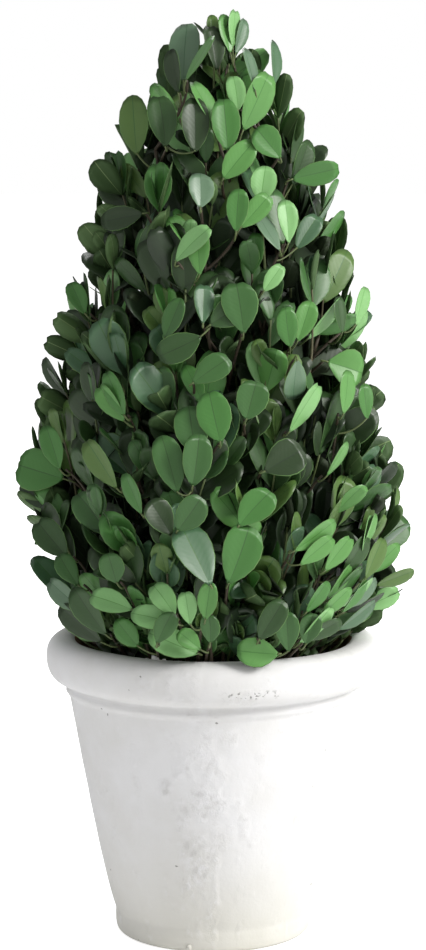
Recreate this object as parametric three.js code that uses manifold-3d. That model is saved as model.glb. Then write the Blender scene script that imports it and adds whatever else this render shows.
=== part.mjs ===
// A boxwood grown as a clipped cone in a whitewashed clay pot.
// Millimetres, +Z up. The origin is the middle of the pot's flat underside.
//
// The pot is filled with potting mix. One trunk stands in the mix and runs up inside the
// cone. Two rings of boughs leave it, and each bough carries one mass of foliage: six masses
// round the foot, five round the shoulder, and one at the tip, which the trunk carries.
// A mass is a dense core that twigs stand out of, with leaves in pairs along every twig.

import * as THREE from "three";
import { mergeVertices } from "three/addons/utils/BufferGeometryUtils.js";
import Module from "manifold-3d";

const wasm = await Module();
wasm.setup();

// ---------------------------------------------------------------- driving dimensions

const HEIGHT = 384; // underside of the pot to the topmost leaf
const CROWN_RADIUS = 80; // widest part of the cone
const RIM_RADIUS = 70; // outside of the rolled rim
const RIM_TOP = 126; // height of the pot
const FOOT_RADIUS = 40.6; // widest part of the foot
const POT_WALL = 8;
const POT_FLOOR = 10;
const CLEARANCE = 0.3; // between solids that touch in the real plant
const MIX_DEPTH = 11; // how far the potting mix lies below the rim

const LEAF_LENGTH = 29;
const LEAF_WIDTH = 0.68; // share of the length
const LEAF_THICKNESS = 0.9;
const SHOOTS = 83;
const PAIRS = 3; // leaf pairs on a shoot
const SOUND_THROWS = 12; // of the leaves of a mass, of which the leanest is kept
const MOST_THROWS = 200;
const LEAFY_LENGTH = 23; // the straight end of a shoot that bears them
const TWIG = 1.4; // radius of a twig where it leaves the stem
const GOLDEN_ANGLE = Math.PI * (3 - Math.sqrt(5));

const DEG = Math.PI / 180;
const UP = new THREE.Vector3(0, 0, 1);

// ---------------------------------------------------------------- materials

const paint = (color, roughness) =>
  new THREE.MeshStandardMaterial({ color, roughness, metalness: 0 });
const limewash = paint(0xe4e1dc, 0.9);
const pottingMix = paint(0x33261c, 1);
const bark = paint(0x6f6248, 0.85);
const leafGreens = [0x4d7a3e, 0x3f6b36, 0x5a8b48].map((green) => paint(green, 0.45));

// ---------------------------------------------------------------- small tools

// The same numbers every time, from 0 to 1.
function seededRandom(seed) {
  let state = seed;
  return () => {
    state = (state + 0x6d2b79f5) | 0;
    let mixed = Math.imul(state ^ (state >>> 15), 1 | state);
    mixed = (mixed + Math.imul(mixed ^ (mixed >>> 7), 61 | mixed)) ^ mixed;
    return ((mixed ^ (mixed >>> 14)) >>> 0) / 4294967296;
  };
}

// A straight-line reading of a table of [at, value] rows.
function along(table, at) {
  const next = table.findIndex(([position]) => position >= at);
  if (next === 0) return table[0][1];
  if (next < 0) return table[table.length - 1][1];
  const [[a, low], [b, high]] = [table[next - 1], table[next]];
  return low + ((high - low) * (at - a)) / (b - a);
}

// The point at a radius, a turn about the axis and a height.
const polar = (radius, turn, z) =>
  new THREE.Vector3(radius * Math.cos(turn), radius * Math.sin(turn), z);

function solidOf(geometry) {
  const bare = new THREE.BufferGeometry();
  bare.setAttribute("position", geometry.getAttribute("position"));
  bare.setIndex(geometry.index);
  const merged = mergeVertices(bare, 1e-4);
  return new wasm.Manifold(
    new wasm.Mesh({
      numProp: 3,
      vertProperties: merged.attributes.position.array,
      triVerts: new Uint32Array(merged.index.array),
    }),
  );
}

// The largest body of a solid, with its sealed hollows filled and loose scraps dropped.
function geometryOf(solid) {
  const bodies = solid.decompose();
  bodies.sort((a, b) => b.volume() - a.volume());
  const mesh = bodies[0].getMesh();
  const geometry = new THREE.BufferGeometry();
  geometry.setAttribute("position", new THREE.BufferAttribute(mesh.vertProperties, 3));
  geometry.setIndex(new THREE.BufferAttribute(mesh.triVerts, 1));
  geometry.computeVertexNormals();
  return geometry;
}

// Points and triangles as a geometry.
function facets(points, triangles) {
  const geometry = new THREE.BufferGeometry();
  geometry.setAttribute(
    "position",
    new THREE.Float32BufferAttribute(points.flatMap((p) => [p.x, p.y, p.z]), 3),
  );
  geometry.setIndex(triangles.flat());
  return geometry;
}

// Joins rings of points, all of one length, into a closed skin with flat ends.
function loft(rings) {
  const sides = rings[0].length;
  const triangles = [];
  for (let ring = 0; ring + 1 < rings.length; ring++) {
    for (let side = 0; side < sides; side++) {
      const next = (side + 1) % sides;
      const [a, b] = [ring * sides + side, ring * sides + next];
      triangles.push([a, b, b + sides], [a, b + sides, a + sides]);
    }
  }
  const last = (rings.length - 1) * sides;
  for (let side = 1; side + 1 < sides; side++) {
    triangles.push([0, side + 1, side], [last, last + side, last + side + 1]);
  }
  return facets(rings.flat(), triangles);
}

// A limb of round section along a curve, with its radius given from foot (0) to tip (1).
function limb(curve, rings, radiusAt, sides) {
  const frames = curve.computeFrenetFrames(rings, false);
  const sections = [];
  for (let ring = 0; ring <= rings; ring++) {
    const share = ring / rings;
    const centre = curve.getPointAt(share);
    const section = [];
    for (let side = 0; side < sides; side++) {
      const turn = (side / sides) * 2 * Math.PI;
      section.push(
        centre
          .clone()
          .addScaledVector(frames.normals[ring], radiusAt(share) * Math.cos(turn))
          .addScaledVector(frames.binormals[ring], radiusAt(share) * Math.sin(turn)),
      );
    }
    sections.push(section);
  }
  return loft(sections);
}

// A thin three-sided rod through a few points, with its radius at each of them.
function rod(points, radii) {
  const sections = points.map((point, index) => {
    const before = points[Math.max(index - 1, 0)];
    const after = points[Math.min(index + 1, points.length - 1)];
    const way = after.clone().sub(before).normalize();
    const across = new THREE.Vector3(-way.y, way.x, 0.02).normalize();
    return [0, 120, 240].map((turn) => {
      const spoke = across.clone().applyAxisAngle(way, turn * DEG);
      return point.clone().addScaledVector(spoke, radii[index]);
    });
  });
  return loft(sections);
}

// A closed profile of [radius, height] points turned about the axis.
function turned(profile, segments) {
  const points = profile.map(([radius, z]) => new THREE.Vector2(radius, z));
  return new THREE.LatheGeometry(points, segments).rotateX(Math.PI / 2);
}

// Points on an arc of an ellipse, from one angle to another, in degrees.
function arc(radius, z, wide, high, from, to, steps) {
  return Array.from({ length: steps + 1 }, (_, step) => {
    const angle = (from + ((to - from) * step) / steps) * DEG;
    return [radius + wide * Math.cos(angle), z + high * Math.sin(angle)];
  });
}

// ---------------------------------------------------------------- pot

// The body's outside between the foot and the neck: it flares fast at first, then slowly.
const NECK_HEIGHT = 101.5;
const NECK_RADIUS = 60.4;
const FOOT_HEIGHT = 9;
const bodyRadius = (z) => {
  const share = (z - FOOT_HEIGHT) / (NECK_HEIGHT - FOOT_HEIGHT);
  return FOOT_RADIUS + (NECK_RADIUS - FOOT_RADIUS) * Math.pow(share, 0.84);
};
const innerRadius = (z) => bodyRadius(Math.max(z, FOOT_HEIGHT + 2)) - POT_WALL;

const ROLL_MIDDLE = 117.2; // height of the rolled rim's middle
const ROLL_HIGH = RIM_TOP - ROLL_MIDDLE;
const ROLL_RADIUS = 62.8;
const ROLL_WIDE = RIM_RADIUS - ROLL_RADIUS;

function potProfile() {
  const body = [];
  for (let step = 0; step <= 5; step++) {
    const z = FOOT_HEIGHT + ((NECK_HEIGHT - FOOT_HEIGHT) * step) / 5;
    body.push([bodyRadius(z), z]);
  }
  const wallTop = ROLL_MIDDLE - 4;
  return [
    [0, 0],
    ...arc(FOOT_RADIUS - 3, 3, 3, 3, -90, 0, 2),
    ...body,
    [61.7, 103.2], // bead under the rim
    [61.4, 105.2],
    [60.9, 106.2], // groove
    ...arc(ROLL_RADIUS, ROLL_MIDDLE, ROLL_WIDE, ROLL_HIGH, -62, 165, 9),
    [innerRadius(NECK_HEIGHT) + 1.5, wallTop],
    [innerRadius(55), 55],
    [innerRadius(POT_FLOOR), POT_FLOOR],
    [0, POT_FLOOR],
  ];
}

// ---------------------------------------------------------------- potting mix

const MIX_TOP = RIM_TOP - MIX_DEPTH;
const MOUND = 2.5; // the mix stands this much higher round the trunk
const TRUNK_FOOT = 9;
const GROUND = MIX_TOP + MOUND;

function mixProfile() {
  const gap = CLEARANCE;
  const edge = innerRadius(NECK_HEIGHT) + 1.2;
  return [
    [0, POT_FLOOR + gap],
    [innerRadius(POT_FLOOR) - 1, POT_FLOOR + gap],
    [innerRadius(55) - 1, 55],
    [edge - 0.6, MIX_TOP - 3],
    [edge - 2.5, MIX_TOP - 1],
    [edge * 0.6, MIX_TOP + 0.8],
    [TRUNK_FOOT + 3, GROUND],
    [0, GROUND],
  ];
}

// ---------------------------------------------------------------- trunk and boughs

const TRUNK_TOP = 290;
const TRUNK_RADIUS = 5.6; // above the root flare
const trunkCurve = new THREE.CatmullRomCurve3(
  [
    [0, 0, GROUND + CLEARANCE],
    [0.4, -0.3, 140],
    [1.8, 0.9, 185],
    [-0.6, 1.4, 235],
    [0.3, 0.2, TRUNK_TOP],
  ].map(([x, y, z]) => new THREE.Vector3(x, y, z)),
);
// The root flare runs out in the first few centimetres, and the taper after it is even.
const trunkRadius = (share) => {
  const flare = (TRUNK_FOOT - TRUNK_RADIUS) * Math.exp(-share * 24);
  return TRUNK_RADIUS * (1 - 0.64 * share) + flare;
};
const trunkAt = (z) => {
  const share = (z - GROUND) / (TRUNK_TOP - GROUND);
  return trunkCurve.getPointAt(share);
};

const TIERS = [
  {
    name: "lower",
    count: 6,
    turn: 12, // where the first bough points, in degrees
    low: 136, // height at the trunk
    high: 163, // height where the bough ends
    radius: 27, // radius where the bough ends
    thick: 2.6,
    stemEnd: [52, 186], // radius and height where the stem inside the mass ends
  },
  {
    name: "upper",
    count: 5,
    turn: 40,
    low: 200,
    high: 229,
    radius: 20.5,
    thick: 2.1,
    stemEnd: [34, 280],
  },
];
const STAGGER = 5; // boughs of one ring leave the trunk at slightly different heights
const boughLimb = (tier, index, grow) => {
  const radiusAt = (share) => tier.thick * (1.12 - 0.32 * share) + grow;
  return solidOf(limb(boughCurve(tier, index), 4, radiusAt, 6));
};
const trunkLimb = (grow) => limb(trunkCurve, 12, (share) => trunkRadius(share) + grow, 9);

// One bough's curve: it leaves the trunk sideways and bends upwards to its mass.
function boughCurve(tier, index) {
  const turn = (tier.turn + (index * 360) / tier.count) * DEG;
  const lift = ((index * 2) % 3) * STAGGER - STAGGER;
  const root = trunkAt(tier.low + lift);
  const end = polar(tier.radius, turn, tier.high);
  const bend = polar(tier.radius * 0.62, turn, tier.low + lift + 9);
  return new THREE.QuadraticBezierCurve3(root, bend, end);
}

// ---------------------------------------------------------------- the space of each mass

// Radius of the leaf tips against height.
const OUTLINE = [
  [112, 46],
  [134, 69],
  [150, 77.5],
  [180, CROWN_RADIUS],
  [204, 78],
  [320, 48],
  [356, 29.5],
  [370, 21],
  [HEIGHT, 3],
];
const REACH = 4; // how far single leaves may stand past the outline

// Radius of the conical faces that part the masses. The shoots grow along them.
const lowerCone = (z) => 72 - (232 - z) * Math.tan(32 * DEG);
const upperCone = (z) => 40 - (335 - z) * Math.tan(15 * DEG);
const INNER_RADIUS = { lower: 25, upper: 16.5, tip: 0 };
const CELL_GAP = 0.25; // half of the gap between two masses
const CONE_GAP = 0.9; // more, because a flat leaf cuts the corner of a cone

const overRim = (radius) => (radius < 54 ? GROUND + 1.5 : RIM_TOP + 1.2);

// Whether a point lies in the space of a mass, and at least a margin inside its faces.
function inSpace(mass, point, margin = 0) {
  const radius = Math.hypot(point.x, point.y);
  const { z } = point;
  if (radius > along(OUTLINE, z) + REACH || z > HEIGHT || z < overRim(radius)) return false;
  if (mass.tier === "tip") {
    return z > TRUNK_TOP + 3 && radius < upperCone(z) - CELL_GAP - margin;
  }
  if (radius < INNER_RADIUS[mass.tier]) return false;
  const away = Math.atan2(point.y, point.x) - mass.turn;
  const turn = Math.abs(Math.atan2(Math.sin(away), Math.cos(away)));
  if (turn > mass.halfTurn) return false;
  if (radius * Math.sin(mass.halfTurn - turn) < CELL_GAP + margin) return false;
  if (mass.tier === "lower") return radius > lowerCone(z) + CONE_GAP + margin;
  if (radius > lowerCone(z) - CELL_GAP - margin || z < 186) return false;
  return radius > upperCone(z) + CONE_GAP + margin;
}

// ---------------------------------------------------------------- cores

// Sections of the cores as [radius, height], round the shape from its inner foot.
const CORE_SECTIONS = {
  lower: [
    [30, 136],
    [45, 131],
    [54, 143],
    [57, 170],
    [55, 199],
    [31, 160],
  ],
  upper: [
    [22, 190],
    [38, 190],
    [49, 208],
    [45, 258],
    [37, 306],
    [22, 252],
  ],
  tip: [
    [0, 295],
    [26, 299],
    [26, 314],
    [16, 339],
    [0, 353],
  ],
};
const CORE_STEPS = 4;
const CORE_LUMP = 1.2; // how uneven a core's skin is
const CORE_ROUNDING = 0.1; // how far a core draws in towards its two sides

// A segment of a ring with the given section, rounded and a little lumpy.
function ringCore(mass, random) {
  const sections = CORE_SECTIONS[mass.tier];
  const middle = [0, 1].map((part) => {
    return sections.reduce((sum, row) => sum + row[part], 0) / sections.length;
  });
  const rings = [];
  for (let step = 0; step <= CORE_STEPS; step++) {
    const side = (2 * step) / CORE_STEPS - 1;
    const drawn = 1 - CORE_ROUNDING * side ** 4;
    const ring = sections.map((row) => {
      const lump = (random() - 0.5) * 2 * CORE_LUMP;
      const [radius, z] = row.map((at, part) => middle[part] + (at - middle[part]) * drawn);
      const clear = Math.asin((CELL_GAP + 1.6) / radius);
      return polar(radius + lump, mass.turn + side * (mass.halfTurn - clear), z - lump * 0.5);
    });
    rings.push(ring.reverse());
  }
  return solidOf(loft(rings));
}

const tipCore = () => solidOf(turned(CORE_SECTIONS.tip, 9));

// ---------------------------------------------------------------- shoots and leaves

// Lean of the shoots from upright against height, in degrees.
const LEAN = [
  [118, 74],
  [136, 62],
  [160, 50],
  [200, 38],
  [250, 28],
  [300, 20],
  [340, 12],
  [HEIGHT, 2],
];

// Places for the shoots' tips, spread evenly over the crown by the golden angle.
function shootPlaces(count) {
  const steps = 200;
  const [bottom, top] = [130, HEIGHT - 1];
  const area = [[0, bottom]];
  for (let step = 1; step <= steps; step++) {
    const z = bottom + ((top - bottom) * step) / steps;
    area.push([area[step - 1][0] + along(OUTLINE, z) + 6, z]);
  }
  const total = area[steps][0];
  const places = Array.from({ length: count - 1 }, (_, index) => {
    const z = along(area, (total * (index + 0.5)) / count);
    return { z, turn: index * GOLDEN_ANGLE };
  });
  return [...places, { z: HEIGHT, turn: 0 }];
}

// The leafy end of a shoot is straight and stops short of the outline. A shoot belongs to
// the mass whose space holds its tip, and its leafy end is shorter where that space is shallow.
function shootFrom(place, masses) {
  const lean = along(LEAN, place.z) * DEG;
  const outward = polar(1, place.turn, 0);
  const way = outward.clone().multiplyScalar(Math.sin(lean)).addScaledVector(UP, Math.cos(lean));
  const tip = polar(along(OUTLINE, place.z), place.turn, place.z)
    .addScaledVector(way, -LEAF_LENGTH * 0.72)
    .addScaledVector(outward, -3.5);
  const mass = masses.find((each) => inSpace(each, tip, TWIG));
  for (let length = LEAFY_LENGTH; mass && length > 8; length -= 3) {
    const bend = tip.clone().addScaledVector(way, -length);
    if (inSpace(mass, bend, TWIG)) return { mass, way, tip, bend, length };
  }
  return { mass: null };
}

// The twig below the leafy end comes from the stem, at a height a little under the bend.
function shootTwig({ mass, bend, tip }) {
  const { low, high, curve } = mass.stem;
  const from = THREE.MathUtils.clamp((bend.z - low) / (high - low) - 0.2, 0.05, 0.9);
  return rod([curve.getPointAt(from), bend, tip], [TWIG, 0.85 * TWIG, 0.55 * TWIG]);
}

// Outline of a blade in shares of its length and half width: broadest past the middle.
const BLADE = [
  [0, 0],
  [0.6, 1],
  [1, 0],
  [0.6, -1],
];
const BLADE_FOLD = 0.1; // how far the sides rise above the midrib, as a share of the length

// The corners of one blade: its outline, and the middle of its upper and lower face.
function bladePoints(root, axis, face, length) {
  const across = new THREE.Vector3().crossVectors(face, axis);
  const place = (share, side, rise) =>
    root
      .clone()
      .addScaledVector(axis, share * length)
      .addScaledVector(across, (side * length * LEAF_WIDTH) / 2)
      .addScaledVector(face, rise);
  const outline = BLADE.map(([share, side]) =>
    place(share, side, Math.abs(side) * BLADE_FOLD * length * Math.min(1, share * 2)),
  );
  const half = LEAF_THICKNESS / 2;
  return [...outline, place(0.55, 0, half), place(0.55, 0, -half)];
}

const BLADE_TRIANGLES = BLADE.flatMap((_, corner) => {
  const next = (corner + 1) % BLADE.length;
  const [upper, lower] = [BLADE.length, BLADE.length + 1];
  return [
    [upper, next, corner],
    [lower, corner, next],
  ];
});

// One leaf of a pair, opened less and less until it keeps to the space of its mass.
function leaf(mass, root, way, side, open, length, random) {
  const outward = new THREE.Vector3(root.x, root.y, 0).normalize();
  const light = outward.addScaledVector(UP, 0.7).normalize();
  for (const share of [1, 0.8, 0.6, 0.42, 0.25]) {
    const angle = open * share;
    const axis = way.clone().multiplyScalar(Math.cos(angle));
    axis.addScaledVector(side, Math.sin(angle)).normalize();
    const face = way.clone().multiplyScalar(Math.sin(angle));
    face.addScaledVector(side, -Math.cos(angle));
    face.lerp(light, 0.35 + 0.4 * random());
    face.addScaledVector(axis, -face.dot(axis)).normalize();
    const points = bladePoints(root, axis, face, length);
    if (points.slice(1).every((point) => inSpace(mass, point))) {
      return solidOf(facets(points, BLADE_TRIANGLES));
    }
  }
  return null;
}

// A shoot's leaves stand in pairs, each pair a quarter turn on from the last.
function shootLeaves({ mass, way, tip, length }, random) {
  const leaves = [];
  const start = random() * 90 * DEG;
  for (let pair = 0; pair < PAIRS; pair++) {
    const down = 1 + (pair * (length - 2)) / (PAIRS - 1);
    const root = tip.clone().addScaledVector(way, -down);
    const sideways = new THREE.Vector3(-way.y, way.x, 0).normalize();
    sideways.applyAxisAngle(way, start + pair * 90 * DEG + (random() - 0.5) * 0.6);
    const open = (20 + pair * 13 + random() * 8) * DEG;
    const size = LEAF_LENGTH * (pair === 0 ? 0.74 : 0.92) * (0.92 + 0.16 * random());
    for (const side of [sideways, sideways.clone().negate()]) {
      const made = leaf(mass, root, way, side, open, size, random);
      if (made) leaves.push(made);
    }
  }
  return leaves;
}

// ---------------------------------------------------------------- masses

// Every mass, with its share of the turn round the axis and the stem that its twigs leave.
function plannedMasses() {
  const masses = TIERS.flatMap((tier) =>
    Array.from({ length: tier.count }, (_, index) => {
      const turn = (tier.turn + (index * 360) / tier.count) * DEG;
      const bough = boughCurve(tier, index);
      const way = bough.getTangentAt(1);
      const foot = bough.getPointAt(1).addScaledVector(way, CLEARANCE);
      const head = polar(tier.stemEnd[0], turn, tier.stemEnd[1]);
      const middle = foot.clone().addScaledVector(way, 11);
      return {
        name: `foliage_${tier.name}_${index + 1}`,
        tier: tier.name,
        turn,
        halfTurn: Math.PI / tier.count,
        wood: boughLimb(tier, index, CLEARANCE),
        stem: {
          curve: new THREE.QuadraticBezierCurve3(foot, middle, head),
          low: foot.z - 20,
          high: head.z + 20,
          thick: tier.thick * 0.8,
        },
      };
    }),
  );
  const foot = trunkAt(TRUNK_TOP);
  const way = trunkCurve.getTangentAt(1);
  foot.addScaledVector(way, CLEARANCE);
  const stem = new THREE.LineCurve3(foot, new THREE.Vector3(0, 0, 344));
  masses.push({
    name: "foliage_tip",
    tier: "tip",
    turn: 0,
    halfTurn: Math.PI,
    wood: solidOf(trunkLimb(CLEARANCE)),
    stem: { curve: stem, low: foot.z, high: 350, thick: 2 },
  });
  return masses;
}

// A mass holds the shoots whose tips lie in its space. It is cut clear of the bark.
function foliageSolid(mass, shoots, seed) {
  const random = seededRandom(seed);
  const { stem } = mass;
  const stemRadius = (share) => stem.thick * (1 - 0.6 * share);
  const core = mass.tier === "tip" ? tipCore() : ringCore(mass, random);
  const pieces = [solidOf(limb(stem.curve, 3, stemRadius, 5)), core];
  for (const shoot of shoots.filter((each) => each.mass === mass)) {
    pieces.push(solidOf(shootTwig(shoot)), ...shootLeaves(shoot, random));
  }
  return wasm.Manifold.union(pieces).subtract(mass.wood);
}

// Whether every edge still joins just two faces once the corners are rounded to a step.
function staysClosed(solid, step) {
  const { numProp, vertProperties, triVerts } = solid.getMesh();
  const places = new Map();
  const corners = Array.from({ length: vertProperties.length / numProp }, (_, index) => {
    const at = vertProperties.subarray(index * numProp, index * numProp + 3);
    const place = Array.from(at, (value) => Math.round(value / step)).join();
    if (!places.has(place)) places.set(place, places.size);
    return places.get(place);
  });
  const joins = new Map();
  for (let first = 0; first < triVerts.length; first += 3) {
    const face = [0, 1, 2].map((corner) => corners[triVerts[first + corner]]);
    if (new Set(face).size < 3) continue;
    face.forEach((from, corner) => {
      const to = face[(corner + 1) % 3];
      const edge = `${Math.min(from, to)} ${Math.max(from, to)}`;
      joins.set(edge, (joins.get(edge) ?? 0) + 1);
    });
  }
  return [...joins.values()].every((count) => count === 2);
}

// Whether a mass is one closed body that keeps clear of those before it. The one at the
// tip also has to reach the top of the cone.
function isSound(mass, solid, others) {
  if (solid.decompose().length !== 1) return false;
  if (mass.tier === "tip" && solid.boundingBox().max[2] < HEIGHT - 1.5) return false;
  if (others.some((other) => other.intersect(solid).volume() > 1e-6)) return false;
  return staysClosed(solid, 1e-3) && staysClosed(solid, 1e-4);
}

// The leaves of a mass are thrown at random, again and again, until a few throws are
// sound. The one with the fewest faces is kept.
function leanestMass(mass, shoots, others) {
  const sound = [];
  for (let seed = 1; sound.length < SOUND_THROWS && seed <= MOST_THROWS; seed++) {
    const solid = foliageSolid(mass, shoots, seed);
    if (isSound(mass, solid, others)) sound.push(solid);
  }
  if (!sound.length) throw new Error(`no throw of ${mass.name} is one sound body`);
  return sound.reduce((best, each) => (each.numTri() < best.numTri() ? each : best));
}

// ---------------------------------------------------------------- the plant in its pot

const plant = new THREE.Group();

function addNode(name, geometry, material) {
  const mesh = new THREE.Mesh(geometry, material);
  mesh.name = name;
  plant.add(mesh);
}

addNode("pot", turned(potProfile(), 36), limewash);
addNode("potting_mix", turned(mixProfile(), 28), pottingMix);

addNode("trunk", trunkLimb(0), bark);
const roundTrunk = solidOf(trunkLimb(CLEARANCE));
for (const tier of TIERS) {
  for (let index = 0; index < tier.count; index++) {
    const bough = boughLimb(tier, index, 0).subtract(roundTrunk);
    addNode(`bough_${tier.name}_${index + 1}`, geometryOf(bough), bark);
  }
}

const masses = plannedMasses();
const shoots = shootPlaces(SHOOTS).map((place) => shootFrom(place, masses));
const finished = [];
masses.forEach((mass, index) => {
  const solid = leanestMass(mass, shoots, finished);
  finished.push(solid);
  addNode(mass.name, geometryOf(solid), leafGreens[index % leafGreens.length]);
});

export default plant;
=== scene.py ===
"""A boxwood grown as a clipped cone, in a limewashed clay pot. Metres, +Z up.

The origin is the middle of the pot's flat underside, and the front looks along -Y.
"""

import math

import bpy
import numpy as np
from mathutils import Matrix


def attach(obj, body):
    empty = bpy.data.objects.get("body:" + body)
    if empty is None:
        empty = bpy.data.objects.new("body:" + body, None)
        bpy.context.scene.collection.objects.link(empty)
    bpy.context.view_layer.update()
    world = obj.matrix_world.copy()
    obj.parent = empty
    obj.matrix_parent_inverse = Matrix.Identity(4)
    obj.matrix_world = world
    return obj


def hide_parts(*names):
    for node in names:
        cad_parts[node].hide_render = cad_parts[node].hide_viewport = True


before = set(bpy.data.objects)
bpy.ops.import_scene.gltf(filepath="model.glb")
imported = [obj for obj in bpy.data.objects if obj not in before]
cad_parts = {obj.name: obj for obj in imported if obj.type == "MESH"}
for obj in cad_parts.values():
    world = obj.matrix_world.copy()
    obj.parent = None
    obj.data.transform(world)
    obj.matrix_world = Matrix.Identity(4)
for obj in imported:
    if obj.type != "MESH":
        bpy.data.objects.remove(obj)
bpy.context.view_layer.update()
MM = 0.001

# ---------------------------------------------------------------- the view
# The plant stands on a plain pale floor in an open white studio. One large soft light
# hangs high on the right and a little in front, a weak one fills the left side, and a third
# stands behind.

VIEW_DISTANCE = 1158.8 * MM
VIEW_HEIGHT = 339.7 * MM
VIEW_TILT = 7.2  # degrees below level
LONG_LENS = 106.1  # mm
FILM_WIDTH = 36  # mm

camera = bpy.data.objects.new("camera", bpy.data.cameras.new("camera"))
camera.location = (0, -VIEW_DISTANCE, VIEW_HEIGHT)
camera.rotation_euler = (math.radians(90 - VIEW_TILT), 0, 0)
camera.data.lens = LONG_LENS
camera.data.sensor_width = FILM_WIDTH
camera.data.clip_start = 0.01
bpy.context.scene.collection.objects.link(camera)
bpy.context.scene.camera = camera
bpy.context.scene.view_settings.view_transform = "Standard"


def softbox(name, place, towards, side, watts, tint):
    """A square area light at a place, facing a point."""
    light = bpy.data.lights.new(name, "AREA")
    light.shape = "SQUARE"
    light.size = side
    light.energy = watts
    light.color = tint
    lamp = bpy.data.objects.new(name, light)
    lamp.location = place
    gaze = np.subtract(towards, place)
    lamp.rotation_euler = (
        math.atan2(math.hypot(gaze[0], gaze[1]), -gaze[2]),
        0,
        math.atan2(gaze[1], gaze[0]) - math.pi / 2,
    )
    bpy.context.scene.collection.objects.link(lamp)


softbox("window_light", (1.4, -0.6, 1.15), (0, 0, 0.22), 0.7, 33, (1.0, 0.985, 0.96))
softbox("left_fill", (-1.3, -0.9, 0.7), (0, 0, 0.2), 1.2, 1.2, (0.95, 0.97, 1.0))
softbox("back_light", (0.1, 1.4, 1.3), (0, 0, 0.25), 1.0, 14, (1.0, 1.0, 1.0))

WALL_LIGHT = 0.46  # how strongly the white walls light the plant
WALL_WHITE = 1.0  # and how bright they look
studio = bpy.data.worlds.new("studio")
studio.use_nodes = True
bpy.context.scene.world = studio
air = studio.node_tree
seen = air.nodes.new("ShaderNodeLightPath")
brightness = air.nodes.new("ShaderNodeMapRange")
brightness.inputs["To Min"].default_value = WALL_LIGHT
brightness.inputs["To Max"].default_value = WALL_WHITE
air.links.new(seen.outputs["Is Camera Ray"], brightness.inputs["Value"])
air.nodes["Background"].inputs["Color"].default_value = (1, 1, 1, 1)
air.links.new(brightness.outputs["Result"], air.nodes["Background"].inputs["Strength"])


def skin(name, points, faces, paints, slots=None, marks=None):
    """A mesh piece from an array of points and its faces: an array of four corners a face,
    or a flat list of corners with the place where each face starts in it. slots gives
    each face its paint, and marks gives each corner its UV."""
    mesh = bpy.data.meshes.new(name)
    points = np.asarray(points, np.float32).reshape(-1, 3)
    if isinstance(faces, tuple):
        corners, starts = faces
    else:
        corners, starts = faces.ravel(), np.arange(len(faces)) * faces.shape[1]
    count = len(starts)
    mesh.vertices.add(len(points))
    mesh.vertices.foreach_set("co", points.ravel())
    mesh.loops.add(len(corners))
    mesh.loops.foreach_set("vertex_index", np.asarray(corners, np.int32))
    mesh.polygons.add(count)
    mesh.polygons.foreach_set("loop_start", np.asarray(starts, np.int32))
    if slots is not None:
        mesh.polygons.foreach_set("material_index", np.asarray(slots, np.int32))
    mesh.polygons.foreach_set("use_smooth", np.ones(count, bool))
    if marks is not None:
        layer = mesh.uv_layers.new(name="surface")
        layer.data.foreach_set("uv", np.asarray(marks, np.float32).ravel())
    mesh.update(calc_edges=True)
    for paint in paints:
        mesh.materials.append(paint)
    piece = bpy.data.objects.new(name, mesh)
    bpy.context.scene.collection.objects.link(piece)
    return piece


def new_paint(name, color, roughness):
    """A plain-coloured surface and three functions that build on it: node(kind, settings,
    inputs...) adds a node, reckon(operation, values...) adds a sum, and wire(value, socket)
    feeds the shader. A value that another node gives is linked, and a plain one is set on
    the socket itself."""
    paint = bpy.data.materials.new(name)
    paint.use_nodes = True
    tree = paint.node_tree
    shader = tree.nodes["Principled BSDF"]

    def feed(value, socket):
        """Link what another node gives, or set a plain value."""
        if isinstance(value, bpy.types.NodeSocket):
            tree.links.new(value, socket)
        else:
            socket.default_value = value

    def node(kind, settings=None, **inputs):
        """Add a node. An input goes by its name, or by its number after an underscore."""
        made = tree.nodes.new("ShaderNode" + kind)
        for key, value in (settings or {}).items():
            setattr(made, key, value)
        for key, value in inputs.items():
            feed(value, made.inputs[int(key[1:]) if key[1:].isdigit() else key.replace("_", " ")])
        return made.outputs

    def reckon(operation, *values):
        """Add a node that does one sum on its values."""
        made = tree.nodes.new("ShaderNodeMath")
        made.operation = operation
        for value, socket in zip(values, made.inputs):
            feed(value, socket)
        return made.outputs["Value"]

    def wire(value, socket):
        """Feed one of the shader's sockets."""
        feed(value, shader.inputs[socket])

    wire((*color, 1), "Base Color")
    wire(roughness, "Roughness")
    return paint, node, reckon, wire


def ring_walls(rings, sides):
    """The faces between rings of points that follow one another: each face joins two
    neighbours on one ring to the same two on the next."""
    ring, step = np.meshgrid(np.arange(rings - 1), np.arange(sides), indexing="ij")
    low, high, ahead = ring * sides, (ring + 1) * sides, (step + 1) % sides
    return np.stack([low + step, low + ahead, high + ahead, high + step], -1).reshape(-1, 4)


floor_paint, node, _, wire = new_paint("studio_floor", (0.86, 0.86, 0.86), 0.9)
spots = node("TexNoise", Vector=node("TexCoord")["Object"], Scale=3.0)["Fac"]
wire(node("MapRange", Value=spots, To_Min=0.85, To_Max=0.95)["Result"], "Roughness")
wire((1, 1, 1, 1), "Emission Color")
glow = node("MapRange", Value=node("LightPath")["Is Camera Ray"], To_Min=0.12, To_Max=0.7)["Result"]
wire(glow, "Emission Strength")
FLOOR_SIDES = 96
turn = np.linspace(0, 2 * math.pi, FLOOR_SIDES + 1)[:-1]
rings = np.array([0.0005, 0.3, 1.5, 12.0])
across, back = np.outer(rings, np.cos(turn)), np.outer(rings, np.sin(turn))
disc = np.stack([across, back, np.zeros_like(across)], -1)
floor_faces = ring_walls(len(rings), FLOOR_SIDES)[:, [0, 3, 2, 1]]  # turned to look up
studio_floor = skin("studio_floor", disc, floor_faces, [floor_paint])

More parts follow.
